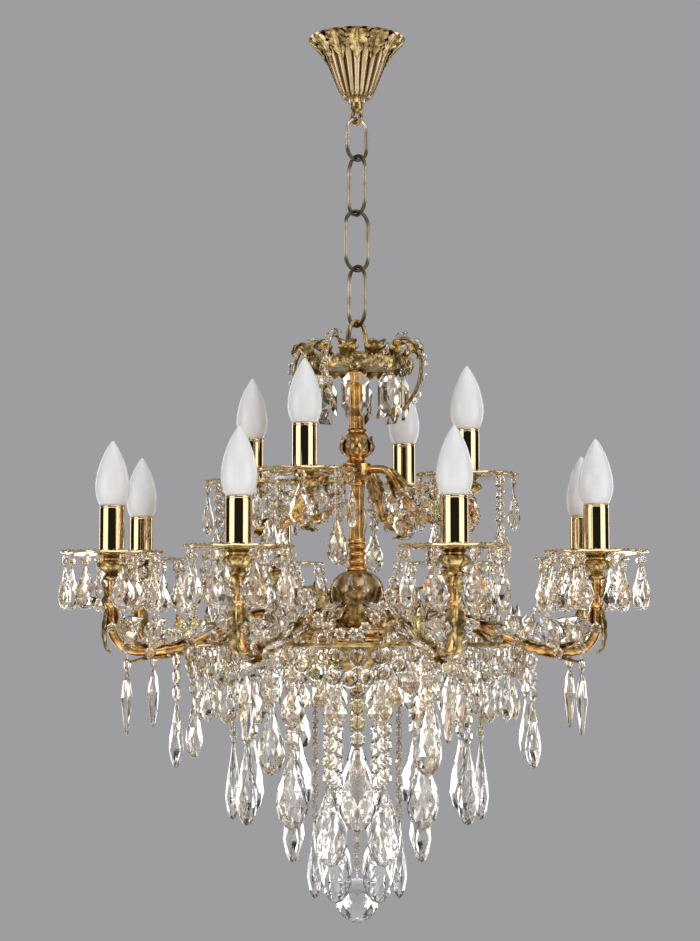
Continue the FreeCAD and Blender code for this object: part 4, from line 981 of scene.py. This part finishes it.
def own_frame(points):
    """Top and axes of a long solid at any lean: thickness, width and length."""
    middle = points.mean(0)
    long_way, wide_way, thin_way = np.linalg.svd(points - middle)[2]
    if long_way[2] < 0:
        long_way = -long_way
    reach = (points - middle) @ long_way
    width = 2 * np.abs((points - middle) @ wide_way).max()
    depth = 2 * np.abs((points - middle) @ thin_way).max()
    axes = np.stack([thin_way * depth, wide_way * width, long_way * np.ptp(reach)], 1)
    return middle + long_way * reach.max(), axes


def clipped_glass():
    """Long prisms along the scrolls of the crown, and leaf-shaped glass along the arms."""
    bars, blades = sorted_by_height("scroll_glass", own_frame)
    kinds = ((prism(), bars), (blade(), blades))
    shapes = [repeat(*shape, places) for shape, places in kinds if places]
    glass("scroll_glass_cut", join(shapes), LAMP, "scroll_glass")


def upright_bead(points):
    """Place of one upright bead, from its own points."""
    top, axes = hanging(points)
    middle = top - np.array([0, 0, axes[2, 2] / 2])
    axes[:, 1] *= math.cos(math.pi / 6)
    return middle, axes


def swinging_drop(node):
    """Octagon and icicle of one arm drop, on its own body; its CAD hook is made round."""
    loop, bead, icicle = sorted(islands(node), key=lambda points: np.ptp(points[:, 2]))
    shapes = [
        repeat(*octagon(), [upright_bead(bead)]),
        repeat(*spear(), [hanging(icicle)]),
        repeat(*hook(), [hanging(loop)]),
    ]
    glass(node + "_cut", join(shapes), node, node)


def bottom_ball():
    """Faceted ball at the foot of the lamp, on its hook."""
    *loops, whole = sorted(islands("bottom_ball"), key=len)
    middle, low, high = box_middle(whole)
    points, faces = ball()
    shapes = [(points * (high[2] - low[2]) + middle, faces)]
    shapes += [repeat(*hook(), [hanging(loop)]) for loop in loops]
    glass("bottom_ball_cut", join(shapes), "bottom_ball", "bottom_ball")


# ---------------------------------------------------------------- stage
def stage_plane(name, centre, normal, size, colour, seen=False):
    """Flat panel that faces along a normal; not part of the lamp. One that is seen is paler to
    the camera than its light makes it, and keeps its shadows."""
    turn = Vector(normal).normalized().to_track_quat("Z", "Y").to_matrix()
    across, up = size[0] / 2, size[1] / 2
    corners = [
        Vector(centre) + turn @ Vector((x * across, y * up, 0))
        for x, y in ((-1, -1), (1, -1), (1, 1), (-1, 1))
    ]
    panel = mesh_object(name, [tuple(c) for c in corners], np.array([[0, 1, 2, 3]]))
    material, shader = new_material(name)
    shader.inputs["Base Color"].default_value = (*colour, 1)
    shader.inputs["Roughness"].default_value = 0.9
    if seen:
        link = material.node_tree.links.new
        path, level = add_nodes(material.node_tree, "LightPath", "Math")
        level.operation = "MULTIPLY"
        level.inputs[1].default_value = 0.16
        link(path.outputs["Is Camera Ray"], level.inputs[0])
        link(level.outputs[0], shader.inputs["Emission Strength"])
        shader.inputs["Emission Color"].default_value = (1, 1, 1, 1)
    panel.data.materials.append(material)
    panel.visible_camera = panel.visible_shadow = panel.visible_diffuse = seen


def toward(azimuth, distance, height):
    """Point round the lamp at an azimuth in degrees."""
    out, _, _ = around(math.radians(azimuth))
    return Vector(out * distance + np.array([0, 0, height]))


def area_light(name, place, target, size, watts):
    """Rectangular lamp that points at a target."""
    lamp = bpy.data.lights.new(name, "AREA")
    lamp.shape = "RECTANGLE"
    lamp.size, lamp.size_y = size
    lamp.energy = watts
    item = add_object(name, lamp)
    item.location = place
    item.rotation_euler = (Vector(target) - Vector(place)).to_track_quat("-Z", "Y").to_euler()
    item.visible_camera = False


def world():
    """Soft light all round; the camera, metal and glass see the photograph's grey."""
    backdrop = bpy.data.worlds.new("studio")
    bpy.context.scene.world = backdrop
    backdrop.use_nodes = True
    tree = backdrop.node_tree
    link = tree.links.new
    path, first, second, mix = add_nodes(tree, "LightPath", "Math", "Math", "Mix")
    first.operation = second.operation = "MAXIMUM"
    mix.data_type = "RGBA"
    link(path.outputs["Is Camera Ray"], first.inputs[0])
    link(path.outputs["Is Glossy Ray"], first.inputs[1])
    link(first.outputs[0], second.inputs[0])
    link(path.outputs["Is Transmission Ray"], second.inputs[1])
    link(second.outputs[0], mix.inputs["Factor"])
    mix.inputs["A"].default_value = (*AMBIENT, 1)
    mix.inputs["B"].default_value = (*BACKGROUND, 1)
    link(mix.outputs["Result"], tree.nodes["Background"].inputs["Color"])


def flag(name, place, size):
    """Black panel that darkens what metal and glass mirror, unseen by the camera."""
    facing = Vector((-place[0], -place[1], 0))
    stage_plane(name, place, facing, size, (0.004, 0.004, 0.004))


def lights():
    """Flags and lamps round the lamp."""
    middle, high, tall = -0.6, 0.02, 1.3
    flag("flag_middle", toward(0, 2.6, high), (3.5, tall))
    for side, word in ((-1, "left"), (1, "right")):
        for azimuth, width, distance in ((99, 1.9, 2.4), (155, 0.5, 2.2)):
            flag(f"flag_{word}_{azimuth}", toward(side * azimuth, distance, high), (width, tall))
        for name, azimuth, distance, height, aim, size, watts in (
            ("strip", 56, 2.4, middle, middle, (1.8, 2.4), 21),
            ("edge", 136, 2.2, middle, middle, (0.35, 2.4), 7),
            ("back", 152, 2.2, -1.2, -0.8, (1.1, 0.9), 5),
        ):
            place = toward(side * azimuth, distance, height)
            area_light(f"{name}_{word}", place, (0, 0, aim), size, watts)
    area_light("top", (0.3, -0.5, 1.2), (0, 0, -0.5), (2.2, 2.2), 16)
    area_light("under", (0, -0.5, -1.9), (0, 0, -0.7), (2.0, 2.0), 16)
    area_light("low_front", (0, -2.5, -1.35), (0, 0, -0.8), (2.4, 0.9), 7)


def studio():
    """Floor, flags, lamps and camera."""
    stage_plane("floor", (0, 0, -2.6), (0, 0, 1), (9, 9), (0.85, 0.85, 0.85), seen=True)
    lights()
    world()
    view = bpy.data.cameras.new("camera")
    view.lens = FOCAL_PX * SENSOR_MM / IMAGE_HEIGHT
    view.sensor_width = SENSOR_MM
    camera = add_object("camera", view)
    camera.location = CAMERA_PLACE
    camera.rotation_euler = (math.radians(90 + CAMERA_PITCH), 0, 0)
    bpy.context.scene.camera = camera
    bpy.context.scene.view_settings.view_transform = "Standard"


# ---------------------------------------------------------------- assembly
dress_frame()
canopy_bell()
leaves()
arm_leaves()
arm_sprays()
vase_leaves()
hub_detail()
pans()
cups()
sleeves()
beads("small_beads", rosette())
beads("strand_beads", octagon())
for node in ("lower_pan_drops", "small_drops", "strand_drops"):
    drops(node)
for number in range(1, 9):
    swinging_drop(f"arm_drop_{number}")
clipped_glass()
bottom_ball()
studio()
